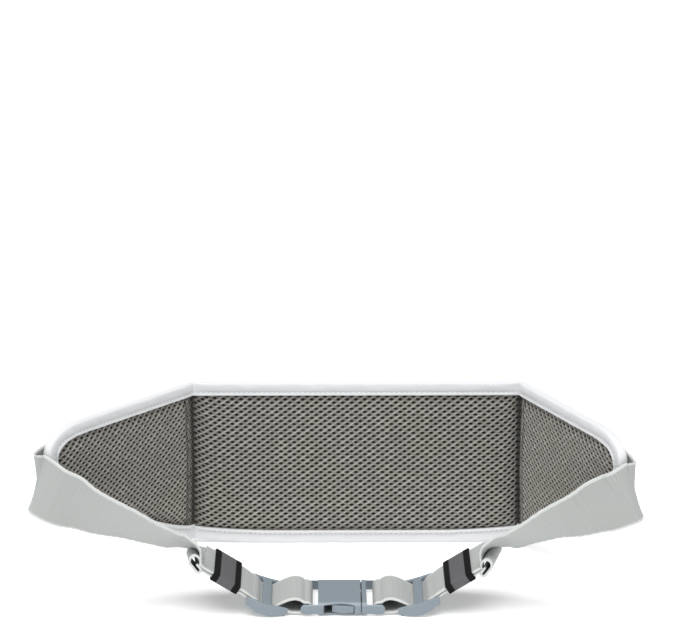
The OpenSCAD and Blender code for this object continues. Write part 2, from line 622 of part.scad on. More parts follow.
half_w = web_w / 2 + 2.2;                      // half width of the buckle
cavity_t = buckle_t - 2 * socket_wall;         // height of the socket's inside
bridge_l = 4;                                  // closed ring at the socket's mouth
window_end = mouth_x + socket_l - 3.5;         // inner end of the side windows
waist = 2.4;                                   // depth of the finger recess
ear_in = web_w / 2 + 0.6;                      // inner face of an ear

// rounded section of the buckle, seen along x
module buckle_section(w, t) intersection() {
    square([2 * w, t], center = true);
    union() {
        square([2 * w - t, t], center = true);
        for (side = [-1, 1]) translate([side * (w - t / 2), 0]) circle(d = t, $fn = 64);
    }
}
module along_x(x0, x1) translate([x0, buckle_y, buckle_t / 2]) rotate([90, 0, 90])
    linear_extrude(x1 - x0) children();
module plan(z0, z1) translate([0, buckle_y, z0]) linear_extrude(z1 - z0) children();

// ears and bar at a webbing end
module web_end(bar_x, start_x) {
    dir = sign(bar_x - start_x);
    tip_x = bar_x + dir * (bar_r + 1.2);
    for (side = [-1, 1]) intersection() {
        along_x(min(start_x, tip_x), max(start_x, tip_x)) buckle_section(half_w, buckle_t);
        plan(-1, buckle_t + 1) translate([min(start_x, tip_x), side > 0 ? ear_in : -half_w - 1])
            square([abs(tip_x - start_x), half_w + 1 - ear_in]);
        translate([0, buckle_y, 0]) rotate([90, 0, 0]) linear_extrude(4 * half_w, center = true) union() {
            translate([bar_x, buckle_t / 2]) circle(d = buckle_t - 1.6, $fn = 64);
            translate([min(start_x, bar_x), 0.8]) square([abs(bar_x - start_x), buckle_t - 1.6]);
            translate([start_x - dir * 1, buckle_t / 2]) circle(d = buckle_t, $fn = 64);
        }
    }
    translate([bar_x, buckle_y, bar_z]) rotate([90, 0, 0])
        cylinder(h = 2 * ear_in + 0.6, r = bar_r, center = true, $fn = 48);
}

module buckle_socket() color(plastic) {
    end_x = mouth_x + socket_l;
    difference() {
        along_x(mouth_x, end_x) buckle_section(half_w, buckle_t);
        // room for the plug's arms and guide
        translate([mouth_x - 1, buckle_y - half_w + socket_wall, buckle_t / 2 - cavity_t / 2])
            cube([socket_l - 3, 2 * (half_w - socket_wall), cavity_t]);
        for (side = [-1, 1]) {
            // side window behind the mouth's bridge
            translate([mouth_x + bridge_l, buckle_y + side * half_w - 4, buckle_t / 2 - cavity_t / 2])
                cube([window_end - mouth_x - bridge_l, 8, cavity_t]);
            // finger recess in both faces
            plan(-1, buckle_t + 1) translate([(mouth_x + bridge_l + window_end) / 2, side * (half_w + 26 - waist)])
                circle(r = 26, $fn = 128);
        }
        // shallow panel line across the face beside the slot
        translate([end_x - 2.2, buckle_y - half_w + 4, buckle_t - 0.4]) cube([0.6, 2 * half_w - 8, 1]);
    }
    web_end(socket_bar_x, end_x - 0.5);
}

base_l = 3;                                    // solid part of the plug's base
plug_gap = 0.5;                                // between the plug's base and the socket's mouth
base_x = mouth_x - plug_gap;
arm_t = cavity_t - 2 * arm_gap;                // height of the arms
arm_in = half_w - socket_wall - 2.6;           // inner face of an arm
guide_w = 6;

module buckle_plug() color(plastic) {
    difference() {
        along_x(base_x - base_l, base_x) buckle_section(half_w, buckle_t);
        // sockets of the two arms
        for (side = [-1, 1]) translate([base_x - 1.6, buckle_y + side * (arm_in + 1.1) - 1.6, buckle_t / 2 - arm_t / 2 - 0.3])
            cube([4, 3.2, arm_t + 0.6]);
    }
    // middle guide, slimmed at its tip
    along_x(base_x - 1, base_x + arm_l - 3) square([guide_w, arm_t], center = true);
    along_x(base_x - 1, base_x + arm_l) square([guide_w - 2.4, arm_t - 1.2], center = true);
    web_end(-plug_bar_x, base_x - base_l + 0.5);
}

// one arm: a thin beam, then the thumb pad that latches behind the mouth's bridge
arm_root_x = base_x - 1.3;
module latch_arm(side) color(plastic) translate([0, buckle_y, buckle_t / 2 - arm_t / 2])
    linear_extrude(arm_t) scale([1, side]) {
        shoulder_x = mouth_x + bridge_l + 0.3;
        pad_end = base_x + arm_l - 2;
        beam_out = half_w - socket_wall - arm_gap;
        pad_out = half_w - 0.7;
        translate([arm_root_x, arm_in]) square([shoulder_x - arm_root_x + 1, 2.2]);
        difference() {
            intersection() {
                translate([shoulder_x, arm_in]) square([pad_end - shoulder_x + 2, pad_out - arm_in]);
                translate([(shoulder_x + pad_end) / 2 - 1, arm_in - 18 + pad_out - arm_in]) circle(r = 18, $fn = 96);
            }
            // hollow behind the pad
            translate([shoulder_x + 2.4, arm_in - 1]) square([pad_end - shoulder_x - 6.4, 1.9]);
        }
        translate([pad_end - 1.5, arm_in + 0.9]) circle(r = 0.9, $fn = 24);
    }
module outer_latch_arm() latch_arm(1);
module inner_latch_arm() latch_arm(-1);

centre_mesh();
left_mesh();
right_mesh();
centre_lining();
left_lining();
right_lining();
centre_pocket();
left_pocket();
right_pocket();
centre_binding();
left_binding();
right_binding();
left_seam_strip();
right_seam_strip();
left_zip_tape();
right_zip_tape();
centre_zip_upper_tape();
centre_zip_lower_tape();
left_zip_trim();
right_zip_trim();
centre_zip_trim();
left_zip_slider();
right_zip_slider();
centre_zip_slider();
left_zip_puller();
right_zip_puller();
centre_zip_puller();
earphone_port();
left_strap();
right_strap();
left_keeper();
right_keeper();
left_slide_adjuster();
right_slide_adjuster();
buckle_socket();
buckle_plug();
inner_latch_arm();
outer_latch_arm();
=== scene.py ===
import json
import math
import random

import bmesh
import bpy
from mathutils import Matrix, Vector

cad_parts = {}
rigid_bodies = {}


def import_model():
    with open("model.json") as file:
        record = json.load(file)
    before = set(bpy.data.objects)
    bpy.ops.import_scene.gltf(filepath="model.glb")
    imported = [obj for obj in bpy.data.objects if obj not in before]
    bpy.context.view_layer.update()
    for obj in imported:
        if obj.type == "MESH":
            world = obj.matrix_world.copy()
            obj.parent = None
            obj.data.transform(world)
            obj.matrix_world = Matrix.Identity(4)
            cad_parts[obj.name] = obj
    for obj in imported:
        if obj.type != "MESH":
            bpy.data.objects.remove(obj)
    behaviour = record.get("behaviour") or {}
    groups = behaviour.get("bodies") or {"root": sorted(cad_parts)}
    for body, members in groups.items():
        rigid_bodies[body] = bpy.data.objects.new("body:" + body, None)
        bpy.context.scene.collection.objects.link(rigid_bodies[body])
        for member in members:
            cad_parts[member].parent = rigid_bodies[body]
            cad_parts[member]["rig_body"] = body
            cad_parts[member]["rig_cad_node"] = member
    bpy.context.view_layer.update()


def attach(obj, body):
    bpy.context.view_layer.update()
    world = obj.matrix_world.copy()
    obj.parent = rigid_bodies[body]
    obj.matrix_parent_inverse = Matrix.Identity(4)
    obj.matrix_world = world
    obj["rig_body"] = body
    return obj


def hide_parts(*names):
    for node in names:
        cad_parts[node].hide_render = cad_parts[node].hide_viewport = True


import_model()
mm = 0.001

# the pack's outline, folds and layers, in millimetres and degrees
pack = {
    "seamX": 105.5, "height": 109, "wingLength": 142, "tipHeight": 87, "seamRise": 3, "lean": 2.5,
    "folds": {1: 53.5, -1: 67.5}, "rim": 8.5, "edge": 5.5, "floorCut": 0.45, "meshDepth": 3,
    "zipDrop": 14.2, "tapeWidth": 3.3, "trimWidth": 1.9, "tapeDepth": 0.8, "zipGap": 0.3,
    "lipSag": 7.5, "lipStand": 3, "centrePuff": 8.5, "wingPuff": 3.5, "seamFlat": 5, "wall": 1.3,
}
sideName = {0: "centre", 1: "right", -1: "left"}
leanCos = math.cos(math.radians(pack["lean"]))
leanSin = math.sin(math.radians(pack["lean"]))
packLift = pack["edge"] * leanSin - pack["floorCut"]
zipLine = pack["height"] - pack["zipDrop"]
zipHalf = pack["tapeWidth"] + pack["trimWidth"]
zipEnd = 0.775 * pack["wingLength"]
innerTop = pack["height"] - pack["rim"]


def clamp01(v):
    return max(0.0, min(1.0, v))


def smooth01(v):
    v = clamp01(v)
    return v * v * (3 - 2 * v)


def mix(a, b, t):
    return a + (b - a) * t


def steps(a, b, n):
    return [a + (b - a) * i / n for i in range(n + 1)]


def ripple(x, y, seed):
    return (math.sin(0.31 * x + 0.17 * y + seed) + 0.6 * math.sin(0.13 * x - 0.23 * y + 2.1 * seed)
            + 0.4 * math.sin(0.53 * x + 0.41 * y + 3.7 * seed)) / 2


# ---- where things are on the pack: x or s along it, n out of the wearer's side, h up it ----

def onPanel(x, n, h):
    return Vector((x, n * leanCos - h * leanSin, n * leanSin + h * leanCos + packLift)) * mm


def onWing(side, s, n, h, turn=None):
    fold = math.radians(pack["folds"][side] if turn is None else turn)
    p = onPanel(pack["seamX"] + s * math.cos(fold) - n * math.sin(fold),
                s * math.sin(fold) + n * math.cos(fold), h)
    return Vector((side * p.x, p.y, p.z))


def onSide(side, s, n, h):
    return onPanel(s, n, h) if side == 0 else onWing(side, s, n, h)


def centreLow(x):
    return pack["seamRise"] * clamp01((abs(x) - 50) / (pack["seamX"] - 50)) ** 2


def wingBase(s):
    rise = pack["tipHeight"] - 20 - pack["seamRise"]
    return pack["seamRise"] + rise * (max(s, 0) / (pack["wingLength"] - 5.5)) ** 1.3


def wingLow(s, inset=0):
    tip = pack["tipHeight"]
    t = clamp01((s - pack["wingLength"] + 15.5) / (15.5 - inset))
    return tip - (tip - wingBase(s) - 1.12 * inset) * math.sqrt(1 - t * t)


def wingHigh(s, inset=0):
    tip, length = pack["tipHeight"], pack["wingLength"]
    t = clamp01((s - 0.7 * length) / (0.3 * length - inset))
    return tip + (pack["height"] - inset - tip) * (1 - t ** 3) ** (1 / 3)


def lipHeight(x):
    share = clamp01((x + pack["seamX"] - 4) / (2 * pack["seamX"] - 8))
    return zipLine - pack["zipGap"] / 2 - pack["lipSag"] * math.sin(math.pi * share) ** 0.8


def lipOut(x):
    reach = 0.71 * pack["seamX"]
    return pack["lipStand"] * math.sin(math.pi * clamp01((x + reach) / (2 * reach)))


def puffAcross(u):
    return math.sin(math.pi * clamp01(u)) ** 0.5


def puffUp(v):
    return max(math.sin(math.pi * clamp01(v) ** 0.6), 0) ** 1.2


def centreDepth(x, h):
    low = centreLow(x) + pack["rim"]
    v = (h - low) / (lipHeight(x) - zipHalf - low)
    u = (x + pack["seamX"] - pack["seamFlat"]) / (2 * (pack["seamX"] - pack["seamFlat"]))
    return pack["centrePuff"] * puffAcross(u) * puffUp(v) + lipOut(x) * clamp01(v) ** 1.5


def wingDepth(s, h):
    low = wingLow(s, pack["rim"])
    v = (h - low) / (zipLine - zipHalf - low)
    u = (s - pack["seamFlat"]) / (zipEnd - 2 * pack["seamFlat"])
    return pack["wingPuff"] * puffAcross(u) * puffUp(v)


# ---- meshes ----

def makePiece(name, verts, faces, smooth=True):
    mesh = bpy.data.meshes.new(name)
    mesh.from_pydata([tuple(v) for v in verts], [], faces)
    mesh.update()
    obj = bpy.data.objects.new(name, mesh)
    bpy.context.collection.objects.link(obj)
    if smooth:
        for poly in mesh.polygons:
            poly.use_smooth = True
    return obj


def signedVolume(mesh):
    total = 0.0
    mesh.calc_loop_triangles()
    for tri in mesh.loop_triangles:
        a, b, c = (mesh.vertices[i].co for i in tri.vertices)
        total += a.dot(b.cross(c))
    return total / 6


def outward(obj):  # turns a closed shell's faces outwards
    bm = bmesh.new()
    bm.from_mesh(obj.data)
    bmesh.ops.recalc_face_normals(bm, faces=bm.faces)
    bm.to_mesh(obj.data)
    bm.free()
    if signedVolume(obj.data) < 0:
        obj.data.flip_normals()


def setAttribute(obj, name, values):  # one number for each vertex
    layer = obj.data.attributes.new(name, "FLOAT", "POINT")
    layer.data.foreach_set("value", values)


def setUv(obj, places):  # a place for each vertex, in millimetres
    layer = obj.data.uv_layers.new(name="cloth")
    for loop in obj.data.loops:
        layer.data[loop.index].uv = places[loop.vertex_index]


def finishPiece(obj, body, slot, nodes=()):
    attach(obj, body)
    if nodes:
        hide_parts(*nodes)


def gridShell(name, rows, backRows):  # closed shell between two grids of the same size
    count, cols = len(rows), len(rows[0])
    verts = [p for row in rows for p in row] + [p for row in backRows for p in row]
    back = count * cols
    faces = []
    for i in range(count - 1):
        for j in range(cols - 1):
            a, b, c, d = i * cols + j, i * cols + j + 1, (i + 1) * cols + j + 1, (i + 1) * cols + j
            faces += [(a, b, c, d), (back + d, back + c, back + b, back + a)]
    for i in range(count - 1):
        for j in (0, cols - 1):
            a, d = i * cols + j, (i + 1) * cols + j
            faces.append((a, d, back + d, back + a) if j == 0 else (d, a, back + a, back + d))
    for j in range(cols - 1):
        for i in (0, count - 1):
            a, b = i * cols + j, i * cols + j + 1
            faces.append((b, a, back + a, back + b) if i == 0 else (a, b, back + b, back + a))
    obj = makePiece(name, verts, faces)
    outward(obj)
    return obj


def ringSweep(name, rings, closed=False):  # closed profile carried along stations
    count, size = len(rings), len(rings[0])
    verts = [p for ring in rings for p in ring]
    faces = []
    for i in range(count if closed else count - 1):
        a, b = i * size, ((i + 1) % count) * size
        faces += [(a + j, a + (j + 1) % size, b + (j + 1) % size, b + j) for j in range(size)]
    if not closed:
        faces += [tuple(range(size - 1, -1, -1)), tuple((count - 1) * size + j for j in range(size))]
    obj = makePiece(name, verts, faces)
    outward(obj)
    return obj


def roundPebble(name, size):  # one stitch or tooth: a small block with rounded edges
    bpy.ops.object.select_all(action="DESELECT")
    bpy.ops.mesh.primitive_cube_add(size=1)
    obj = bpy.context.object
    obj.name = name
    obj.scale = size
    bpy.ops.object.transform_apply(location=False, rotation=False, scale=True)
    modifier = obj.modifiers.new("round", "BEVEL")
    modifier.width = 0.38 * min(size)
    modifier.segments = 1
    modifier.limit_method = "NONE"
    bpy.ops.object.modifier_apply(modifier=modifier.name)
    return obj


def copyAlong(name, template, places):  # the template's mesh at every place, joined into one piece
    source = template.data
    verts, faces = [], []
    for place in places:
        base = len(verts)
        verts += [place @ v.co for v in source.vertices]
        faces += [tuple(base + i for i in poly.vertices) for poly in source.polygons]
    bpy.data.objects.remove(template)
    return makePiece(name, verts, faces)


def frameAt(at, along, up):  # matrix with x along, z up
    x = along.normalized()
    z = (up - up.dot(x) * x).normalized()
    y = z.cross(x)
    return Matrix.Translation(at) @ Matrix((x, y, z)).transposed().to_4x4()


# ---- spacer mesh ----

spacer = {"pitch": 5.75, "row": 2.03, "hole": (1.5, 0.9), "underRim": 2.5, "dip": 2.1, "puff": 0.9,
          "seamPinch": 5.5, "seamReach": 9, "pitDepth": 1.5, "pull": {1: 1.8, -1: 1.2}, "pullReach": 7,
          "lift": {1: 4.2, -1: 1.8}, "liftReach": 9, "stripEdge": 7.9}


def panelEdges(side, s, inset):
    if side == 0:
        return centreLow(s) + inset, pack["height"] - inset
    return wingLow(s, inset), wingHigh(s, inset)


def pinched(side, s):  # the holes are drawn together beside the seams
    if side == 0:
        right, left = pack["seamX"] - s, pack["seamX"] + s
        pull, reach = spacer["pull"], spacer["pullReach"]
        fromRight, fromLeft = (math.exp(-max(gap, -2.6) / reach) for gap in (right, left))
        return s - pull[1] * fromRight + pull[-1] * fromLeft
    return s - spacer["seamPinch"] * (1 - math.exp(-max(s, 0) / spacer["seamReach"]))


def meshRelief(side, s, h):
    low, high = panelEdges(side, s, pack["rim"])
    ends = (s + pack["seamX"], pack["seamX"] - s) if side == 0 else (s, pack["wingLength"] - pack["rim"] - s)
    fall = 0.0
    for gap, reach, depth in ((h - low, 7, 1), (high - h, 7, 0.8), (ends[0], 9, 1.1), (ends[1], 9, 1.25)):
        fall = max(fall, depth * (1 - smooth01(gap / reach)))
    swell = smooth01((h - low) / 40) * smooth01((high - h) / 40)
    return spacer["puff"] * swell + 0.25 * ripple(s, h, 1.3) * (1 - fall) - spacer["dip"] * fall


def seamLift(side, s):  # rows bend up towards the seams of the centre panel
    if side:
        return 0
    lift, reach = spacer["lift"], spacer["liftReach"]
    return lift[1] * math.exp((s - pack["seamX"]) / reach) + lift[-1] * math.exp(-(s + pack["seamX"]) / reach)


def pressedStripAndSeamShade(side, s, h, speckle):  # the pressed strip on a wing's side of the seam and the dark line in it, plus painted shade along the binding and on the centre panel beside the seam
    gap = s if side else min(s + pack["seamX"], pack["seamX"] - s)
    low, high = panelEdges(side, s, pack["rim"])
    # painted shade where the mesh meets the binding
    edge = 0.5 * math.exp(-min(h - low, high - h) / 1.6)
    line = math.exp(-(max(gap, 0) / 1.3) ** 2)
    if side == 0:
        # painted shade on the centre panel beside the seam
        return clamp01(max(line, edge, 0.35 * (1 - smooth01(gap / 6))))
    pressed = (1 - smooth01((gap - 7) / 1.5)) * speckle.choice((0.0, 0.35, 0.8))
    border = 0.9 * math.exp(-((gap - spacer["stripEdge"]) / 1.1) ** 2)
    return clamp01(max(line, pressed, border, edge))


def spacerPanel(side):
    pitch, row = spacer["pitch"] / 4, spacer["row"] / 2
    inset = pack["rim"] - spacer["underRim"]
    first = -pack["seamX"] + 0.1 if side == 0 else 0.1
    last = pack["seamX"] - 0.1 if side == 0 else pack["wingLength"] - inset
    ring = [(2, 0), (1, 1), (0, 2), (-1, 1), (-2, 0), (-1, -1), (0, -2), (1, -1)]
    verts, faces, tone, pitShade, known = [], [], [], [], {}
    places, speckle = [], random.Random(7 + side)
    halfFold = {k: math.tan(math.radians(pack["folds"][k] / 2)) for k in (1, -1)}

    def place(u, v, depth):
        s = max(first, min(last, pinched(side, u)))
        low, high = panelEdges(side, s, inset)
        h = max(low, min(high, v + seamLift(side, s)))
        places.append((s, h))
        n = meshRelief(side, s, h) + depth
        if side == 0 and pack["seamX"] - abs(s) < 0.4:  # the edges meet halfway round the fold
            end = 1 if s > 0 else -1
            s -= end * n * halfFold[end]
        elif side and s < 0.4:
            s += n * halfFold[side]
        return onSide(side, s, n, h)

    def corner(i, j):
        if (i, j) not in known:
            known[i, j] = len(verts)
            # ridges of one diagonal stand higher and are painted light, those of the other diagonal are
            # painted dark: painted highlight and painted shade, with a random speckle
            ridgeRiseAndLight = 0.5 if i % 2 == 0 else (1.0 if ((i - j) // 2) % 2 == 0 else 0.0)
            verts.append(place(i * pitch, j * row, 0.1 + 0.16 * ridgeRiseAndLight))
            tone.append(clamp01(ridgeRiseAndLight + speckle.choice((-0.15, 0, 0, 0.25))))
            pitShade.append(0.0)
        return known[i, j]

    rows = int(pack["height"] / (2 * row)) + 2
    cols = int((last + 12) / (4 * pitch)) + 2
    for j in range(-1, rows):
        for i in range(-cols if side == 0 else -2, cols):
            cu, cv = 4 * i + 2 * (j % 2), 2 * j
            s = pinched(side, cu * pitch)
            if not first - 2.8 <= s <= last + 2.8:
                continue
            low, high = panelEdges(side, max(first, min(last, s)), inset)
            if not low - 1.9 * row <= cv * row + seamLift(side, s) <= high + 1.9 * row:
                continue
            outer = [corner(cu + a, cv + b) for a, b in ring]
            loops = [outer]
            # the hole walls and bottoms are painted darker the deeper they lie: painted shade in the holes
            for size, depth, dark in ((1.0, -0.2, 0.45), (0.84, -0.9, 0.95)):
                base = len(verts)
                for k in range(8):
                    angle = k * math.pi / 4
                    verts.append(place(cu * pitch + size * spacer["hole"][0] * math.cos(angle),
                                       cv * row + size * spacer["hole"][1] * math.sin(angle), depth))
                    tone.append(0.5)
                    pitShade.append(dark)
                loops.append(list(range(base, base + 8)))
            verts.append(place(cu * pitch, cv * row, -spacer["pitDepth"]))
            tone.append(0.5)
            pitShade.append(1.0)
            for a, b in zip(loops, loops[1:]):
                faces += [(a[k], a[(k + 1) % 8], b[(k + 1) % 8], b[k]) for k in range(8)]
            faces += [(loops[-1][k], loops[-1][(k + 1) % 8], len(verts) - 1) for k in range(8)]
    obj = makePiece(sideName[side] + "SpacerMesh", verts, faces)
    setAttribute(obj, "tone", tone)
    setAttribute(obj, "pitShade", pitShade)
    # the seam mask: pressed strip and seam line, with painted shade beside the seam and the binding
    setAttribute(obj, "seam", [pressedStripAndSeamShade(side, s, h, speckle) for s, h in places])
    closeBack(obj, side)
    return obj


# walls and a back; the merge welds folds pressed together, so some edges are left open
def closeBack(obj, side):
    bm = bmesh.new()
    bm.from_mesh(obj.data)
    bmesh.ops.remove_doubles(bm, verts=bm.verts, dist=2e-5)
    bmesh.ops.dissolve_degenerate(bm, dist=1e-5, edges=bm.edges)
    toBack = onSide(side, 50, -pack["meshDepth"] + 0.1, 50) - onSide(side, 50, 0, 50)
    axis = toBack.normalized()
    rim = [e for e in bm.edges if e.is_boundary]
    new = bmesh.ops.extrude_edge_only(bm, edges=rim)["geom"]
    zero = onSide(side, 50, 0, 50).dot(axis) + toBack.length
    for v in new:
        if isinstance(v, bmesh.types.BMVert):
            v.co += (zero - v.co.dot(axis)) * axis
    bmesh.ops.holes_fill(bm, edges=[e for e in bm.edges if e.is_boundary], sides=0)
    bmesh.ops.triangulate(bm, faces=[f for f in bm.faces if len(f.verts) > 4])
    bm.to_mesh(obj.data)
    bm.free()
    obj.data.validate()
    outward(obj)
    for poly in obj.data.polygons:
        poly.use_smooth = True


print("spacer mesh")
spacerPanels = {side: spacerPanel(side) for side in (0, 1, -1)}
for side, obj in spacerPanels.items():
    finishPiece(obj, "belt", "spacer_mesh", [sideName[side] + "_mesh"])


# ---- rim: one padded binding all round, with a piped inner edge and a row of stitches ----

rim = {"arc": 80, "centreSteps": 92, "foldSteps": 7, "groove": 6.5, "stitchPitch": 3.3,
       "stitch": (2.1, 0.55, 0.45), "seamGap": 7, "pucker": 0.2,
       "wearerSide": [(0.02, -1.6), (0.2, -0.5), (0.8, 0.12), (1.8, 0.38), (3.2, 0.42), (4.8, 0.22),
                      (5.9, -0.08), (6.4, -0.3), (6.7, -0.25), (7.1, 0.45), (7.7, 0.8), (8.3, 0.62),
                      (8.65, -0.1), (8.5, -1.0)],
       "frontSide": [(8.45, -4.7), (8.2, -5.35), (7.6, -5.65), (6.9, -5.55), (6.5, -5.38), (6.0, -5.6),
                     (4.6, -6.05), (3.0, -6.2), (1.6, -5.95), (0.6, -5.3), (0.1, -4.2), (0.0, -2.8)]}


def rimStations():  # (side, turn or None, outer point, inner point, distance to the nearest fold)
    seam, length, band = pack["seamX"], pack["wingLength"], pack["rim"]

    def centre(xs, top):
        out = []
        for x in xs:
            edge = pack["height"] if top else centreLow(x)
            inner = innerTop if top else centreLow(x) + band
            out.append((0, None, (x, edge), (x, inner), seam - abs(x)))
        return out

    def wing(side, top, outwards):
        out = []
        for t in steps(0, math.pi / 2, rim["arc"])[:None if top == outwards else -1]:
            s, inner = length * math.sin(t), (length - band) * math.sin(t)
            edge = wingHigh if top else wingLow
            low = edge(inner, band) if t < math.pi / 2 - 0.001 else pack["tipHeight"]
            out.append((side, None, (s, edge(s)), (inner, low), s))
        return out if outwards else out[::-1]

    def fold(side, top, outwards):
        turns = steps(0, pack["folds"][side], rim["foldSteps"])[1:-1]
        edge = pack["height"] if top else pack["seamRise"]
        inner = innerTop if top else wingLow(0, band)
        out = [(side, turn, (0, edge), (0, inner), 0) for turn in turns]
        return out if outwards else out[::-1]

    xs = steps(-seam, seam, rim["centreSteps"])
    return (centre(xs, True) + fold(1, True, True) + wing(1, True, True) + wing(1, False, False)
            + fold(1, False, False) + centre(xs[::-1], False) + fold(-1, False, True)
            + wing(-1, False, True) + wing(-1, True, False) + fold(-1, True, False))


def rimPoint(station, u, n, along=0):
    side, turn, outer, inner, gap = station
    t = u / pack["rim"]
    s, h = mix(outer[0], inner[0], t), mix(outer[1], inner[1], t)
    middle = -pack["edge"] / 2
    if n > middle:
        n = mix(min(n, -0.25), n, smooth01(gap / rim["seamGap"])) - 0.35 * (1 - smooth01(gap / 3))
    away = 1 if n > middle else -1
    n += away * rim["pucker"] * ripple(along, 4 * u, 0.7)
    tug = math.cos(2 * math.pi * along / 9.7 + 1.5 * math.sin(0.11 * along))
    n -= away * 0.16 * max(tug, 0) ** 2 * math.exp(-((u - 4.6) / 2.2) ** 2)
    if turn is None:
        p = onSide(side, s, n, h)
    else:
        p = onWing(side, s, n, h, turn)
    p.z = max(p.z, 0)
    return p


def makeRim():
    stations = rimStations()
    profile = rim["wearerSide"] + rim["frontSide"]
    middles = [rimPoint(st, 4, -2.5) for st in stations]
    along, run = [], 0
    for a, b in zip(middles, middles[1:] + middles[:1]):
        along.append(run)
        run += (b - a).length / mm
    rings = [[rimPoint(st, u, n, a) for u, n in profile] for st, a in zip(stations, along)]
    obj = ringSweep("paddedRim", rings, closed=True)
    size, wearerCount = len(profile), len(rim["wearerSide"])
    setUv(obj, [(along[i // size], profile[i % size][0] * (1 if i % size < wearerCount else -1))
                for i in range(len(rings) * size)])
    # painted shade in the stitched groove and on the band beside it, kept as the groove attribute
    shade = [math.exp(-((profile[k][0] - rim["groove"]) / 0.5) ** 2)
             + 0.35 * smooth01((profile[k][0] - 3.2) / 3) * (profile[k][0] < 6.4) for k in range(size)]
    setAttribute(obj, "groove", [clamp01(shade[i % size]) for i in range(len(rings) * size)])
    return obj, stations


def walk(points, ups, pitch, start=0.0):  # even places along a line: (point, direction, up)
    out, left = [], start
    for i in range(len(points) - 1):
        a, b = points[i], points[i + 1]
        length = (b - a).length / mm
        while left <= length and length > 0:
            t = left / length
            out.append((a.lerp(b, t), b - a, ups[i].lerp(ups[i + 1], t)))
            left += pitch
        left -= length
    return out


def stitchRow(name, lines, size, pitch, sink=0.12):
    places = []
    for points, ups in lines:
        for at, along, up in walk(points, ups, pitch, pitch / 2):
            places.append(frameAt(at - sink * mm * up.normalized(), along, up))
    template = roundPebble("stitch", [v * mm for v in size])
    return copyAlong(name, template, places)


print("rim")
rimObject, stations = makeRim()
finishPiece(rimObject, "belt", "shell_fabric", ["centre_binding", "left_binding", "right_binding"])
grooveLines = []
for n, out in ((-0.15, 1), (-5.5, -1)):
    seamLine = [rimPoint(st, rim["groove"], n) for st in stations]
    seamUps = [rimPoint(st, rim["groove"], n + out) - at for st, at in zip(stations, seamLine)]
    grooveLines.append((seamLine, seamUps))
rimStitches = stitchRow("rimStitching", grooveLines, rim["stitch"], rim["stitchPitch"])
finishPiece(rimStitches, "belt", "shell_fabric")


# ---- fabric strips over the two folds ----

strip = {"flange": 3, "depth": 1, "rows": 46, "turns": 14}


def foldPoint(side, r, turn, s, h):
    a = math.radians(turn)
    p = onPanel(pack["seamX"] + r * math.sin(a) + s * math.cos(a), s * math.sin(a) - r * math.cos(a), h)
    return Vector((side * p.x, p.y, p.z))


def seamStrip(side):
    fold, edge, flange = pack["folds"][side], pack["edge"], strip["flange"]
    low = pack["seamRise"] + 1.12 * pack["rim"] - 0.6
    outer = edge + strip["depth"]
    line = [(outer + 0.2, 0, -flange), (outer + 0.42, 0, -flange + 0.7), (outer - 0.02, 0, -flange + 1.5)]
    line += [(outer, turn, 0) for turn in steps(0, fold, strip["turns"])]
    line += [(outer - 0.02, fold, flange - 1.5), (outer + 0.42, fold, flange - 0.7)]
    line += [(outer + 0.2, fold, flange)]
    line += [(edge + 0.05, fold, flange)]
    line += [(edge - 0.3, turn, 0) for turn in steps(fold, 0, strip["turns"])]
    line += [(edge + 0.05, 0, -flange)]

    def uneven(r, turn, h):
        return 0.13 * ripple(h, 2 * turn, side) if r > edge + 0.5 else 0

    rings = []
    for h in steps(low, innerTop + 0.6, strip["rows"]):
        rings.append([foldPoint(side, r + uneven(r, turn, h), turn, s, h) for r, turn, s in line])
    obj = ringSweep(sideName[side] + "SeamStrip", rings)
    finishPiece(obj, "belt", "shell_fabric", [sideName[side] + "_seam_strip"])
    lines = []
    for turn, s in ((0, -1.5), (fold, 1.5)):
        points = [foldPoint(side, outer, turn, s, h) for h in steps(low + 1, innerTop - 1, 20)]
        ups = [foldPoint(side, outer + 1, turn, s, h) - foldPoint(side, outer, turn, s, h)
               for h in steps(low + 1, innerTop - 1, 20)]
        lines.append((points, ups))
    row = stitchRow(sideName[side] + "StripStitching", lines, (2.1, 0.5, 0.4), 3.2)
    finishPiece(row, "belt", "shell_fabric")
    return obj, row


strips, stripStitches = zip(*[seamStrip(side) for side in (1, -1)])


# ---- pocket fronts, linings and their flat sheets ----

pocket = {"lining": 0.8, "crease": 21.5, "centreCols": 150, "centreRows": 62, "wingCols": 96, "wingRows": 54}


def sheetOnSide(name, side, cols, low, high, front, thick, rows, area=None):
    outer = [[(s, mix(low(s), high(s), j / rows)) for j in range(rows + 1)] for s in cols]
    face = [[onSide(side, s, front(s, h), h) for s, h in line] for line in outer]
    back = [[onSide(side, s, front(s, h) + thick, h) for s, h in line] for line in outer]
    obj = gridShell(name, face, back)
    setUv(obj, [(s, h) for line in outer for s, h in line] * 2)
    if area is None:
        area = sum((cols[i + 1] - cols[i]) * (high(cols[i]) - low(cols[i])) for i in range(len(cols) - 1))
    return obj


def liningSheet(side):
    start = -pack["seamX"] + 0.05 if side == 0 else 0.05
    end = pack["seamX"] - 0.05 if side == 0 else pack["wingLength"] - pack["rim"] - 0.1

    def low(s):
        return panelEdges(side, s, pack["rim"] + 0.05)[0]

    def high(s):
        return panelEdges(side, s, pack["rim"] + 0.05)[1]

    def front(s, h):
        return -pack["meshDepth"] - 0.05 - pocket["lining"] - 0.12 * (1 + ripple(s, h, 2.2))

    obj = sheetOnSide(sideName[side] + "Lining", side, steps(start, end, 60), low, high, front,
                      pocket["lining"], 34)
    finishPiece(obj, "belt", "shell_fabric", [sideName[side] + "_lining"])
    return obj


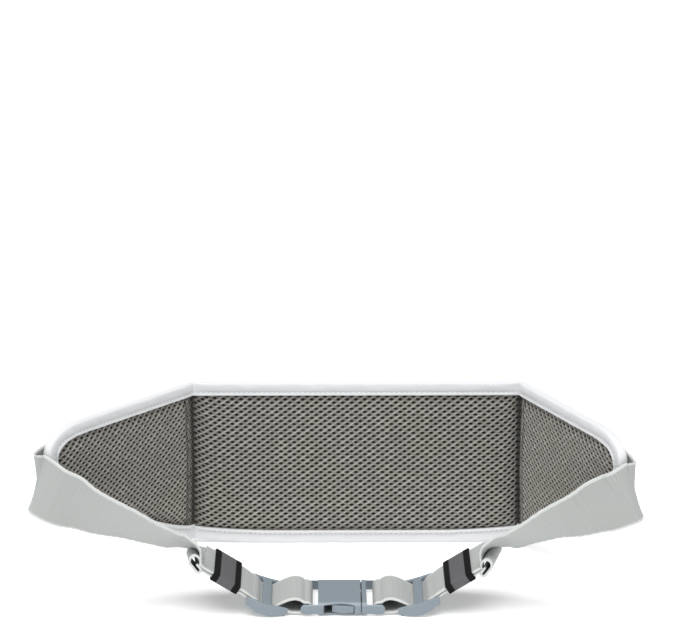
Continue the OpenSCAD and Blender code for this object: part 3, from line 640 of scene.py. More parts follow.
def pocketFolds(s, h, low, high, start, end):
    seam = min(h - low, s - start, end - s)
    fromBelow = 0.35 * math.sin(0.9 * s + 1.3 * math.sin(0.21 * s)) * math.exp(-(h - low) / 9)
    fromEnds = 0.3 * math.sin(0.8 * h + 2) * math.exp(-min(s - start, end - s) / 7)
    pucker = math.exp(-max(seam, 0) / 6) * (fromBelow + fromEnds)
    return pucker * smooth01(seam / 2.5) + 0.32 * ripple(0.5 * s, 0.6 * h, 4.1) * smooth01(seam / 12)


def creaseHeight(side, s):  # the soft fold across the lower third of a pocket
    if side == 0:
        return pocket["crease"] - 2.2 * math.sin(math.pi * clamp01((s + 95) / 190))
    return mix(24, 48, clamp01((s - 6) / 71))


def pocketSheet(side):
    sheetBack = pack["edge"] - pack["wall"]
    if side == 0:
        start, end = -pack["seamX"] + 0.05, pack["seamX"] - 0.05
        cols, rows = steps(start, end, pocket["centreCols"]), pocket["centreRows"]
        depthAt = centreDepth

        def low(s):
            return centreLow(s) + pack["rim"] + 0.05

        def high(s):
            return lipHeight(s) - zipHalf - 0.05
    else:
        start, end = 0.05, pack["wingLength"] - pack["rim"] - 1.5
        cols = steps(start, zipEnd, pocket["wingCols"] - 20) + steps(zipEnd + 1, end, 20)
        rows, depthAt = pocket["wingRows"], wingDepth

        def low(s):
            return wingLow(s, pack["rim"]) + 0.3

        def high(s):
            return wingHigh(s, pack["rim"]) - 0.3 if s > zipEnd + 0.5 else zipLine - zipHalf - 0.05

    def front(s, h):
        gap = h - creaseHeight(side, s)
        away = clamp01(min(s - start, (end if side == 0 else 84) - s) / 14)
        crease = away * (0.55 * math.exp(-((gap + 4) / 4.5) ** 2) - 0.9 * math.exp(-(gap / 1.7) ** 2))
        folds = crease + pocketFolds(s, h, low(s), high(s), start, end) * smooth01((high(s) - h) / 6)
        return -sheetBack - depthAt(s, h) - pack["wall"] - folds

    obj = sheetOnSide(sideName[side] + "PocketFront", side, cols, low, high, front, pack["wall"], rows)
    finishPiece(obj, "belt", "shell_fabric", [sideName[side] + "_pocket"])
    return obj


print("pockets and linings")
pocketFronts = [pocketSheet(side) for side in (0, 1, -1)]
linings = [liningSheet(side) for side in (0, 1, -1)]


# ---- zips: tapes, teeth and the dark trims beside them ----

zips = {"start": 3.2, "tooth": (0.72, 1.5, 0.85), "pitch": 1.2, "openTooth": (0.75, 1.3, 0.85)}


def band(name, side, start, end, low, high, front, back, stand, slot, nodes, count=110):
    rows = []
    for s in steps(start, end, count):
        a, b = low(s), high(s)
        rows.append([(s, mix(a, b, t)) for t in (0, 0.06, 0.5, 0.94, 1)])
    face = [[onSide(side, s, -front - stand(s) + (0.15 if k in (0, 4) else 0)
                    - 0.07 * math.sin(0.5 * s + k), h) for k, (s, h) in enumerate(line)] for line in rows]
    rear = [[onSide(side, s, -back - stand(s), h) for s, h in line] for line in rows]
    obj = gridShell(name, face, rear)
    setUv(obj, [place for line in rows for place in line] * 2)
    finishPiece(obj, "belt", slot, nodes)
    return obj


def toothRow(name, side, lines, size):
    places = []
    for start, end, height, stand in lines:
        s = start
        while s < end:
            at = onSide(side, s, -pack["edge"] - stand(s) - 0.42, height(s))
            along = onSide(side, s + 1, -pack["edge"] - stand(s + 1), height(s + 1)) - onSide(
                side, s, -pack["edge"] - stand(s), height(s))
            out = onSide(side, s, -pack["edge"] - 1, 50) - onSide(side, s, -pack["edge"], 50)
            places.append(frameAt(at, along, out))
            s += zips["pitch"]
    obj = copyAlong(name, roundPebble("tooth", [v * mm for v in size]), places)
    finishPiece(obj, "belt", "zip_tape")
    return obj


def still(s):
    return 0.0


print("zips")
gap, tape, trim = pack["zipGap"] / 2, pack["tapeWidth"], pack["trimWidth"]
front, back, trimFront = pack["edge"], pack["edge"] - pack["tapeDepth"], pack["edge"] + 0.2
tapes, trims, teeth = [], [], []
for side in (1, -1):
    word = sideName[side]
    tapes.append(band(word + "ZipTape", side, zips["start"], zipEnd, lambda s: zipLine - tape - gap,
                      lambda s: zipLine + tape + gap, front, back, still, "zip_tape", [word + "_zip_tape"]))
    trims.append(band(word + "UpperTrim", side, zips["start"], zipEnd, lambda s: zipLine + gap + tape + 0.05,
                      lambda s: zipLine + gap + tape + 0.05 + trim, trimFront, back, still, "dark_trim",
                      [word + "_zip_trim"]))
    trims.append(band(word + "LowerTrim", side, zips["start"], zipEnd, lambda s: zipLine - zipHalf,
                      lambda s: zipLine - tape - gap - 0.05, trimFront, back, still, "dark_trim", []))
    teeth.append(toothRow(word + "ZipTeeth", side, [
        (zips["start"] + 0.6, zipEnd - 0.6, lambda s: zipLine + 0.38, still),
        (zips["start"] + 1.2, zipEnd - 0.6, lambda s: zipLine - 0.38, still)], zips["tooth"]))
reach = pack["seamX"] - 3.2
tapes.append(band("centreUpperTape", 0, -reach, reach, lambda s: zipLine + gap,
                  lambda s: zipLine + gap + tape, front, back, still, "zip_tape",
                  ["centre_zip_upper_tape"]))
tapes.append(band("centreLowerTape", 0, -reach, reach, lambda s: lipHeight(s) - tape, lipHeight,
                  front, back, lipOut, "zip_tape", ["centre_zip_lower_tape"]))
trims.append(band("centreUpperTrim", 0, -reach, reach, lambda s: zipLine + gap + tape + 0.05,
                  lambda s: innerTop - 0.05, trimFront, back, still, "dark_trim", ["centre_zip_trim"]))
trims.append(band("centreLowerTrim", 0, -reach, reach, lambda s: lipHeight(s) - zipHalf + 0.05,
                  lambda s: lipHeight(s) - tape - 0.05, trimFront, back, lipOut, "dark_trim", []))
teeth.append(toothRow("centreZipTeeth", 0, [
    (-reach + 0.6, reach - 0.6, lambda s: zipLine + gap + 0.35, still),
    (-reach + 1.2, reach - 0.6, lambda s: lipHeight(s) - 0.35, lipOut)], zips["openTooth"]))


# ---- webbing straps ----

web = {"width": 40, "depth": 1.6, "gap": 0.3, "barY": 108, "barX": {1: 32.0, -1: 13.3},
       "bulge": {1: 19, -1: 8.5}, "barHeight": 5.0, "loop": 3.3, "glideAt": 25,
       "glideHeight": 5.4, "glideSlope": 17, "keepAt": 39, "keepHeight": 16.2,
       "straightEnd": 63, "keeperSlope": 32, "keeperAt": 49.3, "keeperLength": 19, "keeperWall": 0.9,
       "hemEnd": 66.8, "rib": 0.55, "ribDepth": 0.035,
       "profile": [(20, 0), (19.86, 0.45), (19.4, 0.72), (18.7, 0.8), (18.0, 0.74), (17.5, 0.6), (13, 0.62),
                   (8.5, 0.64), (4, 0.62), (0, 0.64)],
       "run": [(0.05, -0.04, 3.4, 65.3, 0), (0.13, -0.03, 3.5, 59.1, 0), (0.22, 0.09, 2.1, 54.8, 0),
               (0.34, 0.32, 2.6, 48.2, 0), (0.49, 0.5, 3.5, 38.1, 0), (0.65, 0.52, 2.4, 26.7, 0),
               (0.77, 0.46, 2.4, 14.5, 0), (0.88, 0.48, 2.2, 10, 20)],
       "corner": [(-5.3, 0.2, 3.6, 10.6, 34), (-2.1, 0.05, 1.7, 10.5, 26)]}
layerStep = web["depth"] + web["gap"]
overFrame = -0.9 + 1.2 + 0.25 + web["depth"] / 2  # middle of the webbing that lies over the adjuster


def keepLine(d):
    rise = math.tan(math.radians(web["keeperSlope"]))
    return Vector((d, 0, web["keepHeight"] + (d - web["keepAt"]) * rise))


def glidePoint(a, z):
    slope = math.radians(web["glideSlope"])
    middle = Vector((web["glideAt"], 0, web["glideHeight"]))
    return (middle + a * Vector((math.cos(slope), 0, math.sin(slope)))
            + z * Vector((-math.sin(slope), 0, math.cos(slope))))


def catmull(a, b, c, d, t):  # smooth curve from b to c
    return 0.5 * (2 * b + (c - a) * t + (2 * a - 5 * b + 4 * c - d) * t * t
                  + (3 * b - a - 3 * c + d) * t ** 3)


def strapMain(side):
    fold, bulge = pack["folds"][side], web["bulge"][side]
    barX = web["barX"][side]
    origin = Vector((barX, web["barY"], 0))
    straight = Vector((0, 1, 0))

    def wingPoint(s, n, h):
        p = onWing(side, s, n, h) / mm
        return Vector((side * p.x, p.y, p.z))

    def sewn(t):
        a = math.radians(8.5 * t * t)
        rootS, tipS = zipEnd + 2, pack["wingLength"] + 0.3
        n = -pack["edge"] - web["depth"] / 2 - 0.3 - web["width"] / 2 * math.sin(a)
        return (wingPoint(rootS + t * (tipS - rootS), n, pack["tipHeight"] - 2 - 8.5 * t) - origin,
                wingPoint(0, math.sin(a), math.cos(a)) - wingPoint(0, 0, 0))

    def across(lean, flare):
        lean, flare = math.radians(lean), math.radians(flare)
        return Vector((-math.sin(flare), math.sin(lean), math.cos(lean)))

    end, start = sewn(1), keepLine(web["straightEnd"])
    way = end[0] - Vector((0, 0, 4)) - start
    mid = [(end[0] + Vector((x, 3.2 + y * bulge, -z)), across(lean, flare))
           for x, y, z, lean, flare in web["corner"][::-1]]
    mid += [(start + t * way + Vector((0, y * bulge, z)), across(lean, flare))
            for t, y, z, lean, flare in web["run"][::-1]]
    keys = [end] + mid + [(start, straight)]
    last = len(keys) - 1
    out = [sewn(t) for t in (0, 0.35, 0.7, 1)]
    for i in range(last):
        a, b, c, d = keys[max(i - 1, 0)], keys[i], keys[i + 1], keys[min(i + 2, last)]
        for t in (0.25, 0.5, 0.75) if i == 0 else (0, 0.333, 0.667):
            out.append(tuple(catmull(a[k], b[k], c[k], d[k], t) for k in (0, 1)))
    end = web["straightEnd"]
    out += [(keepLine(d), straight) for d in (end, end - 1.5, 56, 50, 45, web["keepAt"])]
    for a, z in ((12.8, overFrame + layerStep + 1.6), (10.4, overFrame + layerStep + 0.5),
                 (7.2, 0.62 * overFrame + layerStep), (3.4, 0), (0, 0), (-3.4, 0.15), (-6, 2.4)):
        out.append((glidePoint(a, z), straight))
    return out


def framed(stations):
    out, last = [], len(stations) - 1
    for i, (p, w) in enumerate(stations):
        t = (stations[min(i + 1, last)][0] - stations[max(i - 1, 0)][0]).normalized()
        w = (w - w.dot(t) * t).normalized()
        out.append((p, w, w.cross(t)))
    return out


def arc(middle, r, t, up, w, angles):
    turns = [math.radians(a) for a in angles]
    return [(middle + r * (math.cos(a) * t + math.sin(a) * up), w) for a in turns]


def strapStations(side):
    main = strapMain(side)
    z, r = web["barHeight"], web["loop"]
    straight, ex, ez = Vector((0, 1, 0)), Vector((1, 0, 0)), Vector((0, 0, 1))
    loop = [(Vector((x, 0, z + h)), straight) for x, h in ((14.6, 3.3), (10.6, 5.0), (7, 5.7), (3.5, 5.0))]
    loop += arc(Vector((0, 0, z)), r, ex, ez, straight, steps(75, 270, 11))
    loop += [(Vector((x, 0, z - r + h)), straight) for x, h in ((5, 0.1), (9.5, 0.3))]
    frames = framed(main)
    near = [frames[i] for i in range(len(main) - 1, -1, -1)
            if web["keepAt"] - 0.1 < main[i][0].x < web["hemEnd"]]
    last, before = near[-1], near[-2]
    t, w = (last[0] - before[0]).normalized(), last[1]
    up = last[2] * (1 if last[2].z > 0 else -1)
    hem = last[0] - (layerStep + 3.3) * up
    tuck = hem - 1.8 * up - 5.6 * t
    tail = [(glidePoint(a, h), straight) for a, h in (
        (-10.4, overFrame + 0.2), (-7.2, 0.62 * overFrame), (-3.4, -layerStep), (0, -layerStep),
        (3.4, -layerStep),
        (7.2, 0.62 * overFrame), (10.4, overFrame + 0.5))]
    tail += [(f[0] - layerStep * f[2] * (1 if f[2].z > 0 else -1), f[1]) for f in near]
    tail += arc(hem, 3.3, t, up, w, steps(60, -90, 7)) + arc(tuck, 1.5, t, up, w, steps(-90, -270, 6))
    tail.append((tuck + 1.5 * up + 3.5 * t, w))
    return main + loop + tail


def resample(stations, step):  # even stations on a smooth curve through the given ones
    points = []
    for i in range(len(stations) - 1):
        a, b = stations[i], stations[i + 1]
        before, after = stations[max(i - 1, 0)], stations[min(i + 2, len(stations) - 1)]
        length = (b[0] - a[0]).length
        if length < 1e-6:
            continue
        da = (b[0] - before[0]).normalized() * length
        db = (after[0] - a[0]).normalized() * length
        count = max(2, int(length / 0.2))
        for k in range(count):
            t = k / count
            h1, h2 = 2 * t ** 3 - 3 * t * t + 1, t ** 3 - 2 * t * t + t
            h3, h4 = 3 * t * t - 2 * t ** 3, t ** 3 - t * t
            points.append((h1 * a[0] + h2 * da + h3 * b[0] + h4 * db, a[1].lerp(b[1], smooth01(t))))
    points.append(stations[-1])
    out, run, due = [], 0.0, 0.0
    for i, point in enumerate(points):
        if i:
            run += (point[0] - points[i - 1][0]).length
        if run >= due - 1e-9:
            out.append(point)
            due += step
    return out


def strapRings(side, stations):
    profile = web["profile"]
    halves = profile + [(-w, z) for w, z in profile[-2::-1]]
    section = halves + [(w, -z) for w, z in halves[-2:0:-1]]
    rings, places = [], []
    for i, (p, w, u) in enumerate(framed(stations)):
        at = Vector((web["barX"][side], web["barY"], 0)) + p
        ring = []
        for across, depth in section:
            rib = web["ribDepth"] * (1 if i % 2 else -1) * (1 if abs(across) < 17.6 else 0.4)
            q = at + across * w + (depth + math.copysign(rib, depth) * (depth != 0)) * u
            ring.append(Vector((side * q.x, q.y, max(q.z, 0.02))) * mm)
            places.append((i * web["rib"], across))
        rings.append(ring)
    return rings, places


def strap(side):
    stations = resample(strapStations(side), web["rib"])
    rings, places = strapRings(side, stations)
    obj = ringSweep(sideName[side] + "Webbing", rings)
    setUv(obj, places)
    finishPiece(obj, "belt", "webbing", [sideName[side] + "_strap"])
    frames = framed(stations)
    lines = []

    def place(i, across, lift):
        p, w, u = frames[i]
        q = Vector((web["barX"][side], web["barY"], 0)) + p + across * w + lift * u
        return Vector((side * q.x, q.y, q.z)) * mm

    lifted = place(10, 0, 1) - place(10, 0, 0)
    outer = -1 if lifted.dot(onSide(side, 0, -1, 0) - onSide(side, 0, 0, 0)) < 0 else 1
    for first in (4, 22):
        line = [place(first, a, outer * 0.72) for a in steps(-17, 17, 16)]
        lines.append((line, [place(first, a, outer) - place(first, a, 0) for a in steps(-17, 17, 16)]))
    for across in (-17, 17):
        line = [place(i, across, outer * 0.72) for i in range(4, 23)]
        lines.append((line, [place(i, across, outer) - place(i, across, 0) for i in range(4, 23)]))
    rows = stitchRow(sideName[side] + "RootStitching", lines, (2.0, 0.55, 0.4), 3.0)
    finishPiece(rows, "belt", "webbing")
    return obj, rows


print("webbing")
straps, strapStitches = zip(*[strap(side) for side in (1, -1)])


# ---- elastic keepers ----

keep = {"clear": 0.35, "round": 0.9, "edgeBand": 4.5}


def keeperSleeve(side):
    innerW, innerT = web["width"] + 2 * keep["clear"], layerStep + web["depth"] + 2 * keep["clear"]
    slope = math.radians(web["keeperSlope"])
    alongDir = Vector((math.cos(slope), 0, math.sin(slope)))
    upDir = Vector((-math.sin(slope), 0, math.cos(slope)))
    mid = keepLine(web["keeperAt"]) - layerStep / 2 * upDir + Vector((web["barX"][side], web["barY"], 0))
    half, wall = web["keeperLength"] / 2, web["keeperWall"]
    outline = []
    corners = ((1, 1), (-1, 1), (-1, -1), (1, -1))
    for k, (cornerY, cornerZ) in enumerate(corners):
        first = 90 * k
        for a in steps(first, first + 90, 6):
            a = math.radians(a)
            outline.append((cornerY * innerW / 2, cornerZ * innerT / 2, math.cos(a), math.sin(a)))
        nextY, nextZ = corners[(k + 1) % 4]
        a = math.radians(first + 90)
        for t in steps(0, 1, 12)[1:-1]:
            outline.append((mix(cornerY, nextY, t) * innerW / 2, mix(cornerZ, nextZ, t) * innerT / 2,
                            math.cos(a), math.sin(a)))
    section = []
    count = int(2 * half / 0.5)
    for i, a in enumerate(steps(-half, half, count)):
        edge = half - abs(a)
        out = wall - 0.06 + 0.05 * (-1) ** i + (0.05 if edge < keep["edgeBand"] else 0)
        if abs(edge - keep["edgeBand"]) < 0.3:
            out = wall - 0.3
        section.append((a, out * (0.55 if i in (0, count) else 1)))
    section += [(half, 0.25), (half - 0.3, 0.03), (0, 0.02), (-half + 0.3, 0.03), (-half, 0.25)]
    rings, bands = [], []
    for y, z, oy, oz in outline:
        ring = []
        for a, r in section:
            q = mid + a * alongDir + Vector((0, y + r * oy, 0)) + (z + r * oz) * upDir
            ring.append(Vector((side * q.x, q.y, q.z)) * mm)
            bands.append(1.0 if half - abs(a) < keep["edgeBand"] else 0.0)
        rings.append(ring)
    obj = ringSweep(sideName[side] + "KeeperSleeve", rings, closed=True)
    setAttribute(obj, "band", bands)
    finishPiece(obj, sideName[side] + "_keeper", "elastic", [sideName[side] + "_keeper"])
    return obj


print("keepers")
keepers = [keeperSleeve(side) for side in (1, -1)]


# ---- moulded parts: softened copies of the CAD pieces ----

def moulded(node, name, voxel, rounds, body, slot, sharp=35):
    source = bpy.data.objects[node]
    bpy.ops.object.select_all(action="DESELECT")
    obj = source.copy()
    obj.data = source.data.copy()
    obj.name = name
    obj.parent = None
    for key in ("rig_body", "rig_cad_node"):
        if key in obj:
            del obj[key]
    bpy.context.collection.objects.link(obj)
    obj.select_set(True)
    bpy.context.view_layer.objects.active = obj
    bpy.ops.object.mode_set(mode="EDIT")
    bpy.ops.mesh.select_all(action="SELECT")
    bpy.ops.mesh.remove_doubles(threshold=1e-6)
    bpy.ops.object.mode_set(mode="OBJECT")
    remesh = obj.modifiers.new("evenMesh", "REMESH")
    remesh.mode = "VOXEL"
    remesh.voxel_size = voxel * mm
    bpy.ops.object.modifier_apply(modifier=remesh.name)
    soften = obj.modifiers.new("soften", "SMOOTH")
    soften.factor = 0.5
    soften.iterations = rounds
    bpy.ops.object.modifier_apply(modifier=soften.name)
    bpy.ops.object.shade_smooth()
    finishPiece(obj, body, slot, [node])
    return obj


print("moulded parts")
plastics = [
    moulded("right_slide_adjuster", "rightAdjuster", 0.36, 5, "belt", "buckle_plastic"),
    moulded("left_slide_adjuster", "leftAdjuster", 0.36, 5, "belt", "buckle_plastic"),
    moulded("buckle_socket", "buckleSocket", 0.34, 4, "belt", "buckle_plastic"),
    moulded("buckle_plug", "bucklePlug", 0.34, 4, "belt", "buckle_plastic"),
    moulded("outer_latch_arm", "outerArm", 0.25, 4, "outer_latch_arm", "buckle_plastic"),
    moulded("inner_latch_arm", "innerArm", 0.25, 4, "inner_latch_arm", "buckle_plastic"),
]
pulls = []
for side in (0, 1, -1):
    word = sideName[side]
    pulls.append(moulded(word + "_zip_slider", word + "Slider", 0.17, 3, word + "_zip_slider", "zip_pull"))
    pulls.append(moulded(word + "_zip_puller", word + "Puller", 0.17, 3, word + "_zip_puller", "zip_pull"))
port = moulded("earphone_port", "earphonePatch", 0.22, 2, "belt", "black_rubber")


portPrint = {"x": -74, "h": 69.5, "middle": -1.8, "ring": (6.4, 7.8), "armLength": 6, "armHalf": 0.62}


def markPort(obj):  # the printed ring and cross
    depth = pack["edge"] + centreDepth(portPrint["x"], portPrint["h"])
    origin = onPanel(portPrint["x"], -depth, portPrint["h"])
    right = onPanel(1, 0, 0) - onPanel(0, 0, 0)
    up = onPanel(0, 0, 1) - onPanel(0, 0, 0)
    ringIn, ringOut = portPrint["ring"]
    values = []
    for v in obj.data.vertices:
        p = (v.co - origin) / mm / mm  # right and up are a millimetre long
        x, y = p.dot(right), p.dot(up) - portPrint["middle"]
        away = math.hypot(x, y)
        onRing = ringIn < away < ringOut
        onCross = away < portPrint["armLength"] and min(abs(x), abs(y)) < portPrint["armHalf"]
        values.append(1.0 if onRing or onCross else 0.0)
    setAttribute(obj, "print", values)


markPort(port)


# ---- materials ----

def newGroup(name, inputs, outputs):
    group = bpy.data.node_groups.new(name, "ShaderNodeTree")
    for label, kind, value in inputs:
        socket = group.interface.new_socket(label, in_out="INPUT", socket_type=kind)
        if value is not None:
            socket.default_value = value
    for label, kind in outputs:
        group.interface.new_socket(label, in_out="OUTPUT", socket_type=kind)
    return group, group.nodes.new("NodeGroupInput"), group.nodes.new("NodeGroupOutput")


def addMath(group, operation, a, b=None, clamp=False):
    node = group.nodes.new("ShaderNodeMath")
    node.operation = operation
    node.use_clamp = clamp
    for socket, value in zip(node.inputs, (a, b)):
        if value is None:
            continue
        if isinstance(value, (int, float)):
            socket.default_value = value
        else:
            group.links.new(value, socket)
    return node.outputs[0]


def weaveGroup():  # crossing yarns: a height for a place in millimetres
    group, start, end = newGroup("weave", [
        ("Place", "NodeSocketVector", None), ("Across", "NodeSocketFloat", 0.8),
        ("Along", "NodeSocketFloat", 0.8)], [("Height", "NodeSocketFloat")])
    split = group.nodes.new("ShaderNodeSeparateXYZ")
    group.links.new(start.outputs["Place"], split.inputs[0])
    waves = []
    for axis, pitch in ((0, "Along"), (1, "Across")):
        turn = addMath(group, "MULTIPLY", split.outputs[axis], 2 * math.pi)
        waves.append(addMath(group, "SINE", addMath(group, "DIVIDE", turn, start.outputs[pitch])))
    crossed = addMath(group, "MULTIPLY", waves[0], waves[1])
    lifted = addMath(group, "MULTIPLY", addMath(group, "ADD", crossed, 1.0), 0.5)
    group.links.new(lifted, end.inputs["Height"])
    return group


def grainGroup():  # soft uneven tone, from the place on the object
    group, start, end = newGroup("grain", [
        ("Size", "NodeSocketFloat", 0.01), ("Low", "NodeSocketFloat", 0.92),
        ("High", "NodeSocketFloat", 1.0)], [("Tone", "NodeSocketFloat")])
    where = group.nodes.new("ShaderNodeTexCoord")
    noise = group.nodes.new("ShaderNodeTexNoise")
    noise.inputs["Detail"].default_value = 4
    group.links.new(where.outputs["Object"], noise.inputs["Vector"])
    group.links.new(addMath(group, "DIVIDE", 1.0, start.outputs["Size"]), noise.inputs["Scale"])
    ranged = group.nodes.new("ShaderNodeMapRange")
    ranged.inputs["From Min"].default_value = 0.3
    ranged.inputs["From Max"].default_value = 0.7
    group.links.new(noise.outputs[0], ranged.inputs["Value"])
    group.links.new(start.outputs["Low"], ranged.inputs["To Min"])
    group.links.new(start.outputs["High"], ranged.inputs["To Max"])
    group.links.new(ranged.outputs[0], end.inputs["Tone"])
    return group


def edgeHighlightGroup():  # edges painted a little lighter: a painted highlight where the light catches them
    group, start, end = newGroup("edgeHighlight", [("Amount", "NodeSocketFloat", 0.3)],
                                 [("Edge", "NodeSocketFloat")])
    shape = group.nodes.new("ShaderNodeNewGeometry")
    ranged = group.nodes.new("ShaderNodeMapRange")
    ranged.inputs["From Min"].default_value = 0.5
    ranged.inputs["From Max"].default_value = 0.62
    group.links.new(shape.outputs["Pointiness"], ranged.inputs["Value"])
    # strength of the painted highlight on the sharp edges
    paintedEdgeLight = addMath(group, "MULTIPLY", ranged.outputs[0], start.outputs["Amount"])
    group.links.new(paintedEdgeLight, end.inputs["Edge"])
    return group


weave, grain, edgeHighlight = weaveGroup(), grainGroup(), edgeHighlightGroup()


def startMaterial(name, roughness, sheen=0.0, specular=0.3):
    material = bpy.data.materials.new(name)
    material.use_nodes = True
    tree = material.node_tree
    shader = tree.nodes["Principled BSDF"]
    shader.inputs["Roughness"].default_value = roughness
    shader.inputs["Specular IOR Level"].default_value = specular
    shader.inputs["Sheen Weight"].default_value = sheen
    return material, tree, shader


def useGroup(tree, group, **values):
    node = tree.nodes.new("ShaderNodeGroup")
    node.node_tree = group
    for label, value in values.items():
        if isinstance(value, (int, float)):
            node.inputs[label].default_value = value
        else:
            tree.links.new(value, node.inputs[label])
    return node


def blendColours(tree, a, b, factor, how="MIX"):
    node = tree.nodes.new("ShaderNodeMix")
    node.data_type = "RGBA"
    node.blend_type = how
    for socket, value in ((node.inputs[6], a), (node.inputs[7], b)):
        if isinstance(value, tuple):
            socket.default_value = (*value, 1)
        else:
            tree.links.new(value, socket)
    if isinstance(factor, (int, float)):
        node.inputs[0].default_value = factor
    else:
        tree.links.new(factor, node.inputs[0])
    return node.outputs[2]


def readAttribute(tree, name):
    node = tree.nodes.new("ShaderNodeAttribute")
    node.attribute_name = name
    return node.outputs["Fac"]


def clothPlace(tree):
    node = tree.nodes.new("ShaderNodeUVMap")
    node.uv_map = "cloth"
    return node.outputs[0]


def finishMaterial(material, tree, shader, colour, height=None, strength=0.3, distance=0.0002):
    if isinstance(colour, tuple):
        shader.inputs["Base Color"].default_value = (*colour, 1)
    else:
        tree.links.new(colour, shader.inputs["Base Color"])
    if height is not None:
        bump = tree.nodes.new("ShaderNodeBump")
        bump.inputs["Strength"].default_value = strength
        bump.inputs["Distance"].default_value = distance
        tree.links.new(height, bump.inputs["Height"])
        tree.links.new(bump.outputs[0], shader.inputs["Normal"])
    return material


def fabricMaterial(name, colour, shade, pitch, roughness=0.85, sheen=0.15, strength=0.35, lines=None):
    material, tree, shader = startMaterial(name, roughness, sheen, 0.2)
    height = useGroup(tree, weave, Place=clothPlace(tree), Across=pitch, Along=pitch).outputs[0]
    tone = useGroup(tree, grain, Size=0.012, Low=0.95, High=1.0).outputs[0]
    base = blendColours(tree, shade, colour, height)
    base = blendColours(tree, tuple(0.93 * c for c in colour), base, tone)
    # darkens the fabric by the named attribute: painted shade
    if lines:
        base = blendColours(tree, base, tuple(0.62 * c for c in colour),
                            addMath(tree, "MULTIPLY", readAttribute(tree, lines), 0.6))
    return finishMaterial(material, tree, shader, base, height, strength, 0.00015)


def spacerMaterial():
    material, tree, shader = startMaterial("spacerMesh", 0.8, 0.1, 0.25)
    tone, pitShade = readAttribute(tree, "tone"), readAttribute(tree, "pitShade")
    # the tone attribute lightens one diagonal of ridges and darkens the other: painted highlight and painted
    # shade
    lightness = addMath(tree, "POWER", tone, 1.3)
    yarn = blendColours(tree, (0.14, 0.131, 0.113), (0.66, 0.645, 0.6), lightness)
    fine = useGroup(tree, grain, Size=0.0006, Low=0.7, High=1.15).outputs[0]
    yarn = blendColours(tree, (0.09, 0.087, 0.08), yarn, fine)
    warm = useGroup(tree, grain, Size=0.05, Low=0.0, High=1.0).outputs[0]
    yarn = blendColours(tree, yarn, (0.36, 0.33, 0.26), addMath(tree, "MULTIPLY", warm, 0.22))
    # painted shade in the holes
    colour = blendColours(tree, yarn, (0.010, 0.010, 0.009), pitShade)
    # pressed strip and seam line, with painted shade beside the seam and the binding
    colour = blendColours(tree, colour, (0.035, 0.034, 0.031), readAttribute(tree, "seam"))
    return finishMaterial(material, tree, shader, colour, fine, 0.4, 0.0001)


def webbingMaterial():
    material, tree, shader = startMaterial("webbing", 0.72, 0.1, 0.3)
    place = clothPlace(tree)
    split = tree.nodes.new("ShaderNodeSeparateXYZ")
    tree.links.new(place, split.inputs[0])
    rib = addMath(tree, "SINE", addMath(tree, "MULTIPLY", split.outputs[0], 2 * math.pi / 1.1))
    rib = addMath(tree, "MULTIPLY", addMath(tree, "ADD", rib, 1.0), 0.5)
    small = useGroup(tree, weave, Place=place, Across=0.9, Along=1.1).outputs[0]
    height = addMath(tree, "ADD", addMath(tree, "MULTIPLY", rib, 0.6), addMath(tree, "MULTIPLY", small, 0.4))
    # both edges of the webbing painted lighter: a painted highlight along the selvedges
    edge = addMath(tree, "GREATER_THAN", addMath(tree, "ABSOLUTE", split.outputs[1]), 18.1)
    base = blendColours(tree, (0.335, 0.35, 0.34), (0.435, 0.452, 0.44), height)
    base = blendColours(tree, base, (0.7, 0.71, 0.7), addMath(tree, "MULTIPLY", edge, 0.6))
    tone = useGroup(tree, grain, Size=0.008, Low=0.94, High=1.0).outputs[0]
    base = blendColours(tree, (0.36, 0.37, 0.36), base, tone)
    return finishMaterial(material, tree, shader, base, height, 0.25, 0.0002)


def keeperMaterial():
    material, tree, shader = startMaterial("keeperElastic", 0.8, 0.0, 0.15)
    ends = readAttribute(tree, "band")
    fine = useGroup(tree, grain, Size=0.0009, Low=0.75, High=1.1).outputs[0]
    base = blendColours(tree, (0.12, 0.12, 0.125), (0.006, 0.006, 0.007), ends)
    base = blendColours(tree, (0.012, 0.012, 0.013), base, fine)
    return finishMaterial(material, tree, shader, base, fine, 0.4, 0.0001)


def plasticMaterial(name, colour, roughness, edgeLightAmount=0.2, specular=0.5):
    material, tree, shader = startMaterial(name, roughness, 0.0, specular)
    fine = useGroup(tree, grain, Size=0.0005, Low=0.0, High=1.0).outputs[0]
    paintedEdgeLight = useGroup(tree, edgeHighlight, Amount=edgeLightAmount).outputs[0]
    # painted highlight on the edges
    base = blendColours(tree, colour, tuple(min(1.0, 1.35 * c + 0.03) for c in colour), paintedEdgeLight)
    tone = useGroup(tree, grain, Size=0.01, Low=0.93, High=1.0).outputs[0]
    base = blendColours(tree, tuple(0.85 * c for c in colour), base, tone)
    return finishMaterial(material, tree, shader, base, fine, 0.12, 0.00005)


def rubberMaterial():
    material, tree, shader = startMaterial("blackRubber", 0.55, 0.0, 0.35)
    fine = useGroup(tree, grain, Size=0.0007, Low=0.0, High=1.0).outputs[0]
    base = blendColours(tree, (0.012, 0.012, 0.013), (0.72, 0.72, 0.72), readAttribute(tree, "print"))
    return finishMaterial(material, tree, shader, base, fine, 0.15, 0.00005)


def paint(material, *objects):
    for obj in objects:
        obj.data.materials.clear()
        obj.data.materials.append(material)


print("materials")
shellFabric = fabricMaterial("shellFabric", (0.8, 0.793, 0.78), (0.66, 0.655, 0.645), 0.75)
